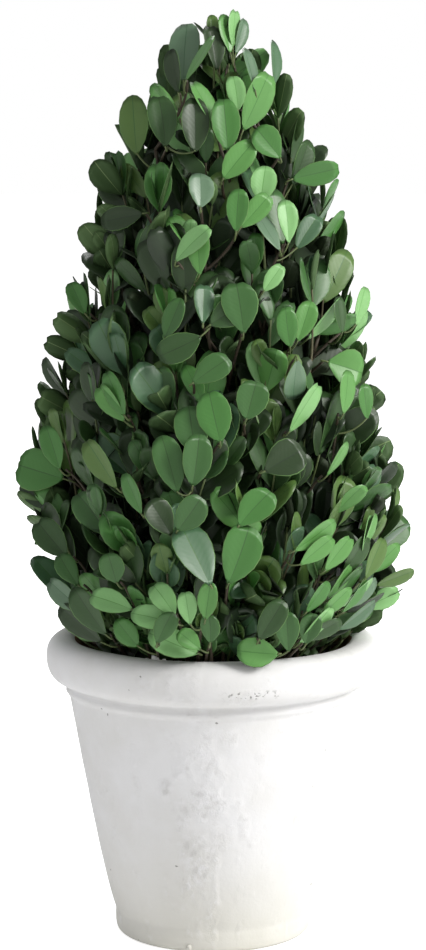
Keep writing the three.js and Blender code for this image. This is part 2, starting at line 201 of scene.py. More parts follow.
# ---------------------------------------------------------------- the pot
# Fired clay, thrown thick with a rolled rim, a bead and a groove under it, and a rounded
# foot. The outside is brushed with chalky limewash that has pits, crumbs and thin places,
# and stops at the inside of the lip, where the bare clay shows.

FOOT_RADIUS = 40.6 * MM
FOOT_HEIGHT = 9 * MM
HEEL = 2.6 * MM  # the radius of the rounded edge under the foot
NECK_RADIUS = 60.4 * MM
NECK_HEIGHT = 101.5 * MM
RIM_TOP = 126 * MM
ROLL_RADIUS = 62.5 * MM  # of the circle through the middle of the rolled rim
ROLL_HEIGHT = 118.4 * MM
ROLL_HALF = 7.5 * MM  # half the roll's thickness across
POT_WALL = 8 * MM
POT_FLOOR = 10 * MM
HAND = 0.28 * MM  # how far a thrown wall wanders from true


def body_radius(z):
    """The radius of the flared body: from foot to neck by the 0.84th power of the height."""
    share = np.clip((z - FOOT_HEIGHT) / (NECK_HEIGHT - FOOT_HEIGHT), 0, 1)
    return FOOT_RADIUS + (NECK_RADIUS - FOOT_RADIUS) * share**0.84


def pot_profile():
    """Radius and height down the outside, from the underside's middle round the foot, up
    the flare, over the roll and down the inside to the middle of the floor. The roll is a
    rounded box: a circle's cosine and sine, each raised to a power below one."""
    under = np.stack([np.linspace(0, 37.2, 6) * MM, np.zeros(6)], 1)
    heel = np.linspace(-90, 0, 9)[1:] * math.pi / 180
    foot = np.stack([38.3 * MM + HEEL * np.cos(heel), HEEL + HEEL * np.sin(heel)], 1)
    z = np.linspace(3.6 * MM, NECK_HEIGHT, 120)
    step = 0.45 * MM * (1 - np.clip((z - 8 * MM) / (2.5 * MM), 0, 1))
    flare = np.stack([body_radius(z) + step, z], 1)
    bead_radius = np.array([61.2, 61.9, 61.9, 61.3, 61.0, 61.5])
    bead_height = np.array([102.5, 103.4, 104.4, 105.4, 106.3, 107.2])
    bead = np.stack([bead_radius, bead_height], 1) * MM
    angle = np.linspace(-74, 168, 64) * math.pi / 180
    across = np.sign(np.cos(angle)) * np.abs(np.cos(angle)) ** 0.84
    upward = np.sign(np.sin(angle)) * np.abs(np.sin(angle)) ** 0.9
    high = np.where(upward > 0, 7.6 * MM, 10.6 * MM)
    roll = np.stack([ROLL_RADIUS + ROLL_HALF * across, ROLL_HEIGHT + high * upward], 1)
    z = np.linspace(116.5 * MM, POT_FLOOR + 3 * MM, 16)
    inside = np.stack([np.minimum(body_radius(z) - POT_WALL + 1.2 * MM, 54.2 * MM), z], 1)
    r = np.linspace(31, 0, 5) * MM
    ground = np.stack([r, np.full(5, POT_FLOOR)], 1)
    return np.concatenate([under, foot, flare, bead, roll, inside, ground])


def turned_skin(profile, around, wander):
    """Points and faces of a profile turned about +Z in equal steps. wander moves each
    point outwards and up by smooth waves of the turn and of the height. The profile's two
    ends lie on the axis, and each is closed by a fan round one point."""
    angle = np.linspace(0, 2 * math.pi, around + 1)[:-1]
    radius, z = profile[1:-1, 0][:, None], profile[1:-1, 1][:, None]
    out, lift = wander(angle[None, :], radius, z)
    radius = radius + out
    grid = np.stack([radius * np.cos(angle), radius * np.sin(angle), z + lift + 0 * angle], -1)
    rows = len(radius)
    points = np.concatenate([grid.reshape(-1, 3), [[0, 0, profile[0, 1]], [0, 0, profile[-1, 1]]]])
    step = np.arange(0, around, 2)
    low = rows * around
    first = np.stack([np.full(len(step), low), (step + 2) % around, step + 1, step], -1)
    base = (rows - 1) * around
    last = np.stack([low + 1 + 0 * step, base + step, base + step + 1, base + (step + 2) % around], -1)
    return points, np.concatenate([ring_walls(rows, around), first, last])


def lumps(share, z, cells, tall, rows, seed, shift=0.0):
    """Smooth random lumps from 0 to 1 on the wall, at a share of the turn and a height. The
    wall is a grid of cells round it, each tall mm high, with a random height at each
    corner, and the heights of a cell's corners are blended by 3t^2 - 2t^3. The grid repeats
    after its last column and row, so the lumps close up round the pot."""
    heights = np.random.default_rng(seed).random((cells, rows))
    across, up = share * cells + shift, z / (tall * MM)
    column, row = np.floor(across).astype(int), np.floor(up).astype(int)
    s, t = across - column, up - row
    s, t = s * s * (3 - 2 * s), t * t * (3 - 2 * t)
    column, row = column % cells, row % rows
    right, above = (column + 1) % cells, (row + 1) % rows
    low = heights[column, row] * (1 - s) + heights[right, row] * s
    high = heights[column, above] * (1 - s) + heights[right, above] * s
    return low * (1 - t) + high * t


def chalk_relief(angle, z):
    """How high the limewash stands at each place, from -1 in a hollow to 1 on a crust, and
    how rough it is there. The rough band runs down the front, left of the middle. Crusts
    and hollows are where the sum of two finer grids of lumps is high or low."""
    share = (angle / (2 * math.pi)) % 1
    sway = 0.16 * (lumps(share, z, cells=9, tall=26, rows=7, seed=4) - 0.5)
    off = (angle - math.radians(261) + sway + math.pi) % (2 * math.pi) - math.pi
    band = np.clip(1.35 - np.abs(off) / math.radians(15), 0, 1)
    band = band * np.clip((z - 4 * MM) / (18 * MM), 0, 1)
    band = band * np.clip((110 * MM - z) / (20 * MM), 0.25, 1)
    patchy = 0.6 * lumps(share, z, cells=52, tall=8, rows=31, seed=8)
    patchy = patchy + 0.4 * lumps(share, z, cells=110, tall=3.7, rows=47, seed=9)
    rough = np.clip((patchy - 0.60 + 0.34 * band) / 0.4, 0, 1)
    fine = lumps(share, z, cells=190, tall=1.9, rows=83, seed=15)
    finer = lumps(share, z, cells=330, tall=1.15, rows=131, seed=16, shift=3.1)
    crust = np.clip((0.6 * fine + 0.4 * finer - 0.56) / 0.1, 0, 1)
    pores = 0.55 * fine + 0.45 * lumps(share, z, cells=240, tall=1.5, rows=97, seed=17)
    hollow = np.clip((0.34 - pores) / 0.1, 0, 1)
    return (crust - hollow) * rough, rough


def thrown(angle, radius, z):
    """How far the wall stands out and up: slow waves round it, soft lumps and the limewash's
    relief. The flat underside stays flat."""
    held = np.clip(z / (6 * MM), 0, 1)
    wave = np.sin(2 * angle + 0.7 + z * 22) + 0.7 * np.sin(3 * angle - 1.9 - z * 31)
    wave = wave + 0.4 * np.sin(7 * angle + 2.2 + z * 60)
    share = (angle / (2 * math.pi)) % 1
    soft = lumps(share, z, cells=44, tall=9, rows=23, seed=2) - 0.5
    relief, _ = chalk_relief(angle, z)
    rise = 0.8 * np.sin(2 * angle - 0.4) + 0.5 * np.sin(5 * angle + 1.1)
    out = HAND * 0.5 * wave + 0.22 * MM * soft + 0.10 * MM * relief * (radius > 40 * MM)
    return out * held, HAND * rise * np.clip((z - 90 * MM) / (25 * MM), 0, 1)


def limewash():
    """White chalk in cloudy coats: darker and yellower low down in patches, painted whiter on
    its crusts and greyer in its hollows, with a few dark specks, a row of pits in the rim
    painted dark, and bare clay inside the lip. The crusts' white is a painted highlight, and
    the grey of the hollows and the dark of the pits are painted shade."""
    paint, node, reckon, wire = new_paint("limewash", (0.68, 0.68, 0.67), 0.9)
    at = node("TexCoord")["Object"]
    x, y, z = (node("SeparateXYZ", Vector=at)[axis] for axis in "XYZ")
    flat = node("CombineXYZ", X=x, Y=y)["Vector"]
    radius = node("VectorMath", {"operation": "LENGTH"}, _0=flat)["Value"]
    relief = node("Attribute", {"attribute_name": "chalk"})["Fac"]
    rough = node("Attribute", {"attribute_name": "rough"})["Fac"]

    clouds = node("TexNoise", Vector=at, Scale=24.0, Detail=5.0, Roughness=0.6)["Fac"]
    spread = node("MapRange", Value=clouds, From_Min=0.35, From_Max=0.62)["Result"]
    thin_coat, thick_coat = (0.725, 0.72, 0.71, 1), (0.785, 0.785, 0.795, 1)
    coat = node("MixRGB", Fac=spread, Color1=thin_coat, Color2=thick_coat)["Color"]
    # Darker and yellower towards the foot, in patches.
    low = node("MapRange", Value=z, From_Min=0.055, From_Max=0.0, To_Min=0.0, To_Max=0.9)["Result"]
    low_patches = node("TexNoise", Vector=at, Scale=14.0, Detail=3.0)["Fac"]
    low_darkening = reckon("MULTIPLY", low, low_patches)
    white = node("MixRGB", Fac=low_darkening, Color1=coat, Color2=(0.58, 0.56, 0.45, 1))["Color"]

    # Crusts are painted whiter and hollows greyer: a painted highlight on the raised
    # crusts and painted shade in the hollows.
    crust = node("MapRange", Value=relief, To_Max=0.5)["Result"]
    white = node("MixRGB", Fac=crust, Color1=white, Color2=(0.84, 0.84, 0.86, 1))["Color"]
    hollow = node("MapRange", Value=relief, From_Max=-1.0, To_Max=0.32)["Result"]
    white = node("MixRGB", Fac=hollow, Color1=white, Color2=(0.50, 0.49, 0.48, 1))["Color"]

    # A few specks: the cells of a scattered pattern whose random number is high.
    bend = node("TexNoise", Vector=at, Scale=500.0)["Color"]
    bent_at = node("MixRGB", Fac=0.0015, Color1=at, Color2=bend)["Color"]
    cell = node("TexVoronoi", Vector=bent_at, Scale=430.0)
    number = node("SeparateXYZ", Vector=cell["Color"])["X"]
    chosen = reckon("GREATER_THAN", number, 0.992)
    core = node("MapRange", Value=cell["Distance"], From_Min=0.26, From_Max=0.14)["Result"]
    speck = reckon("MULTIPLY", chosen, core)
    # The pits in the rim lie in one short row, right of the middle. They are dented in the
    # bump, and their dark colour is painted shade.
    row = reckon("ABSOLUTE", reckon("SUBTRACT", z, 0.1135))
    row = node("MapRange", Value=row, From_Min=0.0022, From_Max=0.0008)["Result"]
    side = reckon("ABSOLUTE", reckon("SUBTRACT", x, 0.0155))
    side = node("MapRange", Value=side, From_Min=0.0125, From_Max=0.007)["Result"]
    front = reckon("LESS_THAN", y, -0.02)
    row = reckon("MULTIPLY", row, side)
    row = reckon("MULTIPLY", row, front)
    pitted = node("TexNoise", Vector=at, Scale=620.0, Detail=2.0)["Fac"]
    pitted = node("MapRange", Value=pitted, From_Min=0.56, From_Max=0.64)["Result"]
    pits = reckon("MULTIPLY", row, pitted)
    # The specks' dark is their own, and the dark in the pits is painted shade.
    dark = reckon("MAXIMUM", speck, pits)
    dark = reckon("MULTIPLY", dark, 0.72)
    specked = node("MixRGB", Fac=dark, Color1=white, Color2=(0.13, 0.12, 0.11, 1))["Color"]

    # Bare clay on the inside, with a ragged edge along the lip.
    ragged = node("TexNoise", Vector=at, Scale=60.0, Detail=3.0)["Fac"]
    edge = reckon("MULTIPLY_ADD", ragged, 0.0035, 0.0563)
    bare = reckon("LESS_THAN", radius, edge)
    above = reckon("GREATER_THAN", z, 0.112)
    bare = reckon("MULTIPLY", bare, above)
    clay_mix = node("TexNoise", Vector=at, Scale=120.0, Detail=3.0)["Fac"]
    dark_clay, light_clay = (0.16, 0.07, 0.035, 1), (0.36, 0.17, 0.09, 1)
    clay = node("MixRGB", Fac=clay_mix, Color1=dark_clay, Color2=light_clay)["Color"]
    wire(node("MixRGB", Fac=bare, Color1=specked, Color2=clay)["Color"], "Base Color")
    wire(node("MapRange", Value=clouds, To_Min=0.82, To_Max=0.96)["Result"], "Roughness")

    body = node("TexNoise", Vector=at, Scale=90.0, Detail=6.0, Roughness=0.65)["Fac"]
    grain = node("TexNoise", Vector=at, Scale=900.0, Detail=3.0, Roughness=0.7)["Fac"]
    crumbs = node("TexNoise", Vector=at, Scale=700.0, Detail=4.0, Roughness=0.8)["Fac"]
    crumbs = reckon("MULTIPLY", crumbs, rough)
    height = reckon("MULTIPLY_ADD", grain, 0.2, body)
    height = reckon("MULTIPLY_ADD", crumbs, 2.3, height)
    height = reckon("MULTIPLY_ADD", dark, -0.7, height)
    wire(node("Bump", Strength=0.5, Distance=0.0006, Height=height)["Normal"], "Normal")
    return paint


pot_points, pot_faces = turned_skin(pot_profile(), 432, thrown)
pot = skin("limewashed_pot", pot_points, pot_faces, [limewash()])
pot_angle = np.arctan2(pot_points[:, 1], pot_points[:, 0])
for name, values in zip(("chalk", "rough"), chalk_relief(pot_angle, pot_points[:, 2])):
    layer = pot.data.attributes.new(name, "FLOAT", "POINT")
    layer.data.foreach_set("value", values.astype(np.float32))
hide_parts("pot")
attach(pot, "root")

# The eight corners of a box that reaches 1 each way. Crumbs and chips are knocked from it.
box = np.array([[x, y, z] for x in (-1, 1) for y in (-1, 1) for z in (-1, 1)], float)


def box_faces(count):
    """The six sides of each of many boxes, whose points are numbered as in box."""
    sides = np.array([[0, 1, 3, 2], [4, 6, 7, 5], [0, 4, 5, 1], [2, 3, 7, 6], [0, 2, 6, 4], [1, 5, 7, 3]])
    return (sides[None] + len(box) * np.arange(count)[:, None, None]).reshape(-1, 4)


# A few crumbs of limewash stick to the lip and the foot: knocked boxes, half sunk in.
crumb_turn = np.radians([247.5, 244.6, 251.0, 289.0, 256.0, 63.0])
crumb_radius = np.array([60.5, 61.5, 59.8, 61.0, 41.0, 60.8]) * MM
crumb_height = np.array([126.0, 125.8, 126.0, 126.1, 2.4, 125.9]) * MM
crumb_size = np.array([1.7, 0.9, 0.8, 0.7, 1.3, 1.0]) * MM
knocked = box * np.random.default_rng(21).uniform(0.35, 1.1, (6, 8, 3)) * crumb_size[:, None, None]
crumb_place = [crumb_radius * np.cos(crumb_turn), crumb_radius * np.sin(crumb_turn), crumb_height]
crumb_points = knocked + np.stack(crumb_place, 1)[:, None]
crumbs = skin("limewash_crumbs", crumb_points, box_faces(len(crumb_size)), [pot.data.materials[0]])
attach(crumbs, "root")

# ---------------------------------------------------------------- the potting mix
# Dark, crumbly potting mix, 11 mm below the rim and a little higher round the trunk.
# Chips of bark and grit lie loose on it.

MIX_TOP = RIM_TOP - 11 * MM
MOUND = 2.5 * MM
GROUND = MIX_TOP + MOUND


def mound(radius):
    """How far the mix rises towards the trunk: a bell curve of the radius."""
    return MOUND * np.exp(-((radius / (22 * MM)) ** 2))


def mix_profile():
    """Radius and height from the middle of the bottom out, up the side and over the top,
    which falls off near the side by the sixth power of the radius."""
    side = 52.6 * MM
    bottom = np.stack([np.linspace(0, side - 3 * MM, 5), np.full(5, MIX_TOP - 30 * MM)], 1)
    r = np.linspace(side, 0, 34)
    top = MIX_TOP + mound(r) - 1.0 * MM * (r / side) ** 6
    return np.concatenate([bottom, np.stack([r, top], 1)])


def crumbled(angle, radius, z):
    """Small hummocks on the top, worked out from sines that don't line up."""
    x, y = radius * np.cos(angle), radius * np.sin(angle)
    bumps = np.sin(610 * x + 3 * np.sin(240 * y)) * np.sin(570 * y + 2 * np.sin(310 * x))
    bumps = bumps + 0.6 * np.sin(1310 * x + 900 * y) * np.sin(1190 * y - 700 * x)
    on_top = np.clip((z - (MIX_TOP - 4 * MM)) / (2 * MM), 0, 1) * np.clip(radius / (6 * MM), 0, 1)
    return 0 * bumps, 0.55 * MM * bumps * on_top


def earth(name, dark, light, scale):
    """Damp crumbs: two browns in small grains, rough all over."""
    paint, node, _, wire = new_paint(name, dark, 0.95)
    at = node("TexCoord")["Object"]
    grains = node("TexNoise", Vector=at, Scale=scale, Detail=6.0, Roughness=0.7)["Fac"]
    spread = node("MapRange", Value=grains, From_Min=0.4, From_Max=0.62)["Result"]
    wire(node("MixRGB", Fac=spread, Color1=(*dark, 1), Color2=(*light, 1))["Color"], "Base Color")
    wire(node("Bump", Strength=0.8, Distance=0.0008, Height=grains)["Normal"], "Normal")
    return paint


mix_points, mix_faces = turned_skin(mix_profile(), 144, crumbled)
dark_mix = earth("potting_mix", (0.018, 0.011, 0.008), (0.075, 0.048, 0.032), 420.0)
mix = skin("crumbly_mix", mix_points, mix_faces, [dark_mix])
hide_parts("potting_mix")
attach(mix, "root")


def chips(count, rng):
    """Loose chips: boxes of six faces with knocked corners, each turned its own way and
    lying on the mix at a random place."""
    shape = box * rng.uniform(0.75, 1.1, (count, 8, 3))
    long = rng.uniform(0.7, 2.3, (count, 1, 1)) * MM
    flat = np.stack([np.ones(count), rng.uniform(0.35, 0.8, count), rng.uniform(0.2, 0.45, count)], -1)
    shape = shape * long * flat[:, None]
    turn = rng.uniform(0, 2 * math.pi, count)
    tip = rng.normal(0, 0.35, count)[:, None]
    cos, sin = np.cos(turn)[:, None], np.sin(turn)[:, None]
    x, y, z = shape[..., 0], shape[..., 1], shape[..., 2]
    z, x = z * np.cos(tip) - x * np.sin(tip), x * np.cos(tip) + z * np.sin(tip)
    far = np.sqrt(rng.uniform(0.04, 0.94, count)) * 51 * MM
    way = rng.uniform(0, 2 * math.pi, count)
    lie = MIX_TOP + mound(far) + 0.5 * MM
    across = x * cos - y * sin + (far * np.cos(way))[:, None]
    back = x * sin + y * cos + (far * np.sin(way))[:, None]
    return np.stack([across, back, z + lie[:, None]], -1), box_faces(count)


chip_points, chip_faces = chips(520, np.random.default_rng(5))
chip_paint = earth("bark_chips", (0.035, 0.02, 0.012), (0.16, 0.10, 0.06), 260.0)
loose_chips = skin("bark_chips", chip_points, chip_faces, [chip_paint])
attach(loose_chips, "root")

# ---------------------------------------------------------------- the trunk and the boughs
# One pale grey-brown trunk with a flared foot goes up inside the cone. Six boughs leave it
# low and five higher up, each at its own height, and bend upwards. The bark is finely
# ridged along the limb.

TRUNK_TOP = 290 * MM
TRUNK_RADIUS = 5.6 * MM
TRUNK_FOOT = 9 * MM
TIERS = {
    "lower": dict(count=6, turn=12, low=136, high=163, radius=27, thick=2.6, head=(52, 186)),
    "upper": dict(count=5, turn=40, low=200, high=229, radius=20.5, thick=2.1, head=(34, 280)),
}
STAGGER = 5  # mm between the heights where the boughs of one ring leave the trunk


def trunk_middle(z):
    """The middle of the trunk at a height: it leans a little to and fro."""
    at = np.array([GROUND, 140 * MM, 185 * MM, 235 * MM, TRUNK_TOP])
    x = np.interp(z, at, np.array([0, 0.4, 1.8, -0.6, 0.3]) * MM)
    y = np.interp(z, at, np.array([0, -0.3, 0.9, 1.4, 0.2]) * MM)
    return np.stack([x, y, z + 0 * x], axis=-1)


def spherical(radius, turn, z):
    """Points at a radius, a turn about the axis and a height."""
    return np.stack([radius * np.cos(turn), radius * np.sin(turn), z + 0 * turn], axis=-1)


def bent(start, bend, end, steps):
    """Points along curves that leave start towards bend and arrive at end from it: the sum
    of the three points weighted by (1-t)^2, 2t(1-t) and t^2."""
    t = np.linspace(0, 1, steps)[:, None]
    return (
        (1 - t) ** 2 * start[..., None, :]
        + 2 * t * (1 - t) * bend[..., None, :]
        + t**2 * end[..., None, :]
    )


def unit(vectors):
    """Vectors cut to length one."""
    return vectors / np.maximum(np.linalg.norm(vectors, axis=-1, keepdims=True), 1e-9)


def square_to(axis, vectors):
    """What is left of vectors when their part along an axis of length one is taken off, cut
    to length one."""
    return unit(vectors - axis * np.sum(vectors * axis, -1, keepdims=True))


def across_paths(paths):
    """Two directions across each of many paths, square to the path and to each other."""
    way = unit(np.gradient(paths, axis=-2))
    level = np.stack([-way[..., 1], way[..., 0], np.full(way.shape[:-1], 0.03)], -1)
    aside = square_to(way, level)
    return aside, np.cross(way, aside)


def tubes(paths, radii, sides, relief=0.0, seed=0):
    """Round skins along many paths of equal length: at each point of a path stands a ring
    of the given radius, with an even number of sides. Ridges along the limb rise and fall
    by relief times the radius, as the sum of four sines of the turn that drift along the
    path. Four-cornered faces that fan from the ring's first point close each end."""
    many, steps = paths.shape[:2]
    aside, across = across_paths(paths)
    angle = np.linspace(0, 2 * math.pi, sides + 1)[:-1]
    ridge = 1.0
    if relief:
        phase = np.random.default_rng(seed).uniform(0, 6.28, (many, 1, 4, 1))
        folds = np.array([5, 9, 14, 3])[:, None] * angle
        drift = np.arange(steps)[:, None, None] * np.array([0.25, 0.11, 0.4, 0.7])[:, None]
        waves = np.sin(folds + phase + drift) * np.array([0.35, 0.3, 0.2, 0.5])[:, None]
        ridge = 1 + relief * waves.sum(2)
    reach = radii[..., None] * ridge
    points = (
        paths[:, :, None]
        + (reach * np.cos(angle))[..., None] * aside[:, :, None]
        + (reach * np.sin(angle))[..., None] * across[:, :, None]
    )
    pairs = np.arange(0, sides - 2, 2)
    last = (steps - 1) * sides
    low = np.stack([0 * pairs, pairs + 3, pairs + 2, pairs + 1], -1) % sides
    high = np.stack([0 * pairs, pairs + 1, pairs + 2, pairs + 3], -1) % sides
    faces = np.concatenate([ring_walls(steps, sides), low, last + high])
    return points, faces[None] + (steps * sides) * np.arange(many)[:, None, None]


def bark(name, dark, light, scale):
    """Bark in two browns, streaked along the height, with a fine ridged bump."""
    paint, node, _, wire = new_paint(name, light, 0.85)
    at = node("TexCoord")["Object"]
    drawn = node("Mapping", Vector=at, Scale=(1, 1, 0.22))["Vector"]
    streaks = node("TexNoise", Vector=drawn, Scale=scale, Detail=6.0, Roughness=0.65)["Fac"]
    spread = node("MapRange", Value=streaks, From_Min=0.38, From_Max=0.62)["Result"]
    wire(node("MixRGB", Fac=spread, Color1=(*dark, 1), Color2=(*light, 1))["Color"], "Base Color")
    wire(node("MapRange", Value=streaks, To_Min=0.75, To_Max=0.95)["Result"], "Roughness")
    wire(node("Bump", Strength=0.7, Distance=0.0006, Height=streaks)["Normal"], "Normal")
    return paint


bark_paint = bark("bark", (0.055, 0.042, 0.028), (0.22, 0.18, 0.12), 300.0)
TRUNK_RINGS = 90
trunk_z = np.linspace(GROUND, TRUNK_TOP, TRUNK_RINGS)
trunk_share = (trunk_z - GROUND) / (TRUNK_TOP - GROUND)
trunk_radii = TRUNK_RADIUS * (1 - 0.64 * trunk_share)
trunk_radii = trunk_radii + (TRUNK_FOOT - TRUNK_RADIUS) * np.exp(-trunk_share * 24)
trunk_points, trunk_faces = tubes(trunk_middle(trunk_z)[None], trunk_radii[None], 24, 0.07, 3)
trunk = skin("ridged_trunk", trunk_points, trunk_faces.reshape(-1, 4), [bark_paint])
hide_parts("trunk")
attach(trunk, "root")


def boughs_of(tier):
    """Where the boughs of one ring start, bend and end, and which way they point."""
    index = np.arange(tier["count"])
    turn = np.radians(tier["turn"] + index * 360 / tier["count"])
    leave = (tier["low"] + ((index * 2) % 3 - 1) * STAGGER) * MM
    start = trunk_middle(leave)
    end = spherical(tier["radius"] * MM, turn, tier["high"] * MM)
    bend = spherical(tier["radius"] * 0.62 * MM, turn, leave + 9 * MM)
    return turn, start, bend, end


BOUGH_RINGS = 24
for ring_name, tier in TIERS.items():
    turn, start, bend, end = boughs_of(tier)
    paths = bent(start, bend, end, BOUGH_RINGS)
    radii = tier["thick"] * MM * (1.12 - 0.32 * np.linspace(0, 1, BOUGH_RINGS))
    points, faces = tubes(paths, np.tile(radii, (tier["count"], 1)), 12, 0.08, tier["count"])
    boughs = skin(f"ridged_boughs_{ring_name}", points, faces.reshape(-1, 4), [bark_paint])
    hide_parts(*[f"bough_{ring_name}_{n + 1}" for n in range(tier["count"])])
    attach(boughs, "root")

# ---------------------------------------------------------------- the shoots
# Every bough goes on as a stem inside its mass of foliage. Twigs leave the stem, and short
# leafy shoots stand on the twigs, upright at the top of the cone and leaning out more and
# more towards the rim of the pot. The young ends are tan and yellow-green.

HEIGHT = 384  # mm, which no leaf of the shoots passes
OUTLINE = np.array(
    # height and radius of the leaf tips, mm
    [[112, 46], [134, 69], [150, 77.5], [180, 80], [204, 78], [320, 48], [356, 29.5], [370, 21], [384, 3]]
)
LEAN = np.array(
    # height, mm, and how far a shoot leans from upright, degrees
    [[118, 68], [136, 58], [160, 45], [200, 32], [250, 22], [300, 15], [340, 9], [384, 2]]
)
GOLDEN_ANGLE = math.pi * (3 - math.sqrt(5))
rng = np.random.default_rng(11)


def spread_places(count, bottom, top):
    """Heights and turns spread evenly over the cone: the turns step by the golden angle,
    and the heights divide the cone's side into bands of one area."""
    z = np.linspace(bottom, top, 200)
    area = np.concatenate([[0], np.cumsum(np.interp(z, *OUTLINE.T)[1:] + 6)])
    index = np.arange(count)
    return np.interp((index + 0.5) / count * area[-1], area, z), index * GOLDEN_ANGLE


def shoot_lines(z, turn, deep, lean_off, turn_off, leafy):
    """The tip of each shoot, its direction and the foot of its leafy end. A shoot at a
    height leans out by the table, and its tip lies deep mm inside the outline."""
    lean = np.radians(np.interp(z, *LEAN.T) + lean_off)
    way = spherical(np.sin(lean), turn + turn_off, np.cos(lean))
    tip = spherical(np.interp(z, *OUTLINE.T), turn, z) - deep[:, None] * way
    return tip, way, tip - leafy[:, None] * way


TOP = 11  # shoots round the leader
OUTER = 216  # shoots whose tips make the cone's face, with those at the top
INNER = 130  # shoots in the shade behind them
LOW = 195  # short shoots that stand in the mix, just inside the rim
SHOOTS = OUTER + INNER + LOW
outer_z, outer_turn = spread_places(OUTER - TOP, 126, 380)
outer_z = np.concatenate([np.full(TOP, 360), outer_z])
outer_turn = np.concatenate([np.zeros(TOP), outer_turn])
inner_z, inner_turn = spread_places(INNER, 128, 366)
place_z = np.concatenate([outer_z, inner_z]) + rng.normal(0, 2.5, OUTER + INNER)
place_turn = np.concatenate([outer_turn, inner_turn + 1]) + rng.normal(0, 0.07, OUTER + INNER)
deep = np.concatenate([rng.uniform(15, 28, OUTER), rng.uniform(30, 50, INNER)])
leafy_length = rng.uniform(32, 46, SHOOTS)
tip, way, foot = shoot_lines(
    place_z,
    place_turn,
    deep=deep,
    lean_off=rng.normal(0, 9, OUTER + INNER),
    turn_off=rng.normal(0, 0.3, OUTER + INNER),
    leafy=leafy_length[: OUTER + INNER],
)
# A few shoots stand upright round the leader and fill the top.
place_turn[:TOP] = np.arange(TOP) * GOLDEN_ANGLE
tip[:TOP] = spherical(np.linspace(3, 17, TOP), place_turn[:TOP], np.linspace(374, 346, TOP))
way[:TOP] = unit(spherical(np.linspace(0.03, 0.2, TOP), place_turn[:TOP], np.ones(TOP)))
foot[:TOP] = tip[:TOP] - leafy_length[:TOP, None] * way[:TOP]
# The low shoots fan out from the mix, and two in every five of them hang out over the rim.
over = np.arange(LOW) % 5 > 2
low_turn = np.arange(LOW) * GOLDEN_ANGLE + rng.normal(0, 0.05, LOW)
low_lean = np.radians(np.where(over, rng.uniform(48, 72, LOW), rng.uniform(12, 48, LOW)))
low_way = spherical(np.sin(low_lean), low_turn + rng.normal(0, 0.3, LOW), np.cos(low_lean))
leafy_length[-LOW:] = np.where(over, rng.uniform(8, 15, LOW), rng.uniform(16, 27, LOW))
low_foot = spherical(np.where(over, 44, rng.uniform(33, 47, LOW)), low_turn, np.where(over, 123.0, 118.0))
tip = np.concatenate([tip, low_foot + leafy_length[-LOW:, None] * low_way])
way = np.concatenate([way, low_way])
foot = np.concatenate([foot, low_foot])

RIM_INNER = 56  # mm from the axis, where the rolled rim starts


def over_rim(radius, height, slope):
    """How high a leaf has to be at a radius to pass over the rim: a height, and outside the
    rim's start a slope times the distance from there on top."""
    return height + slope * np.maximum(radius - RIM_INNER, 0)


# A shoot that would end on the rim is left out, and shoots near the mix start above it.
MIX_CLEAR = 119  # mm, just above the mix
tip_radius = np.hypot(tip[:, 0], tip[:, 1])
clear = (tip[:, 2] > over_rim(tip_radius, 127, 0.25)) | (tip_radius < 44)
tip, way, foot, leafy_length = tip[clear], way[clear], foot[clear], leafy_length[clear]
IN_FACE, IN_SHADE, IN_MIX = range(3)
standing = np.repeat([IN_FACE, IN_SHADE, IN_MIX], [OUTER, INNER, LOW])[clear]
SHOOTS = len(tip)
LOW = int((standing == IN_MIX).sum())
shallow = np.clip((tip[:, 2] - MIX_CLEAR) / np.maximum(tip[:, 2] - foot[:, 2], 1), 0.25, 1)
leafy_length = leafy_length * np.where(foot[:, 2] < MIX_CLEAR, shallow, 1)
foot = tip - leafy_length[:, None] * way

LEADER_FOOT = [0.3, 0.2, 290.0]  # mm, where the trunk ends and the leader goes on
LEADER_HEAD = [2.0, 0.0, 346.0]  # mm, where the leader ends


def stem_of(point):
    """The bough's stem that carries a point: by the cone-shaped borders between the
    masses, and then by the nearest turn. Gives the stem's foot and head."""
    radius = np.hypot(point[:, 0], point[:, 1])
    turn = np.arctan2(point[:, 1], point[:, 0])
    lower = radius > 72 - (232 - point[:, 2]) * math.tan(math.radians(32))
    upper = radius > 40 - (335 - point[:, 2]) * math.tan(math.radians(15))
    feet = np.tile(LEADER_FOOT, (len(point), 1))
    heads = np.tile(LEADER_HEAD, (len(point), 1))
    for chosen, tier in ((upper & ~lower, TIERS["upper"]), (lower, TIERS["lower"])):
        step = 2 * math.pi / tier["count"]
        start = math.radians(tier["turn"])
        near = start + np.round((turn - start) / step) * step
        low = spherical(tier["radius"], near, tier["high"])
        high = spherical(tier["head"][0], near, tier["head"][1])
        feet = np.where(chosen[:, None], low, feet)
        heads = np.where(chosen[:, None], high, heads)
    return feet, heads


# The twigs: about one for every four shoots of the crown, from the stem to a fork below.
TWIGS = 83
TWIG_RINGS = 12
WOOD_FOOT = np.array([0, 0, 115.5])  # mm, the height at which young wood leaves the mix
twig_z, twig_turn = spread_places(TWIGS, 128, 376)
twig_tip, _, twig_foot = shoot_lines(
    twig_z, twig_turn, deep=np.full(TWIGS, 30.0), lean_off=0, turn_off=0, leafy=np.full(TWIGS, 26.0)
)
twig_tip[:, 2] = np.maximum(twig_tip[:, 2], 121)
twig_foot[:, 2] = np.maximum(twig_foot[:, 2], 120)
stem_foot, stem_head = stem_of(twig_tip)
share = (twig_foot[:, 2] - stem_foot[:, 2]) / np.maximum(stem_head[:, 2] - stem_foot[:, 2], 1) - 0.2
share = np.clip(share, 0.0, 0.95)[:, None]
twig_root = stem_foot + share * (stem_head - stem_foot)
near_mix = twig_foot[:, 2] < 152
twig_root[near_mix] = (twig_foot * np.array([0.75, 0.75, 0]) + WOOD_FOOT)[near_mix]
held_in = np.minimum(1, 50 / np.maximum(np.hypot(twig_foot[:, 0], twig_foot[:, 1]), 1))[:, None]
twig_foot[:, :2] *= np.where(twig_foot[:, 2:] < 132, held_in, 1)
twig_paths = bent(twig_root, twig_foot, twig_tip, TWIG_RINGS)


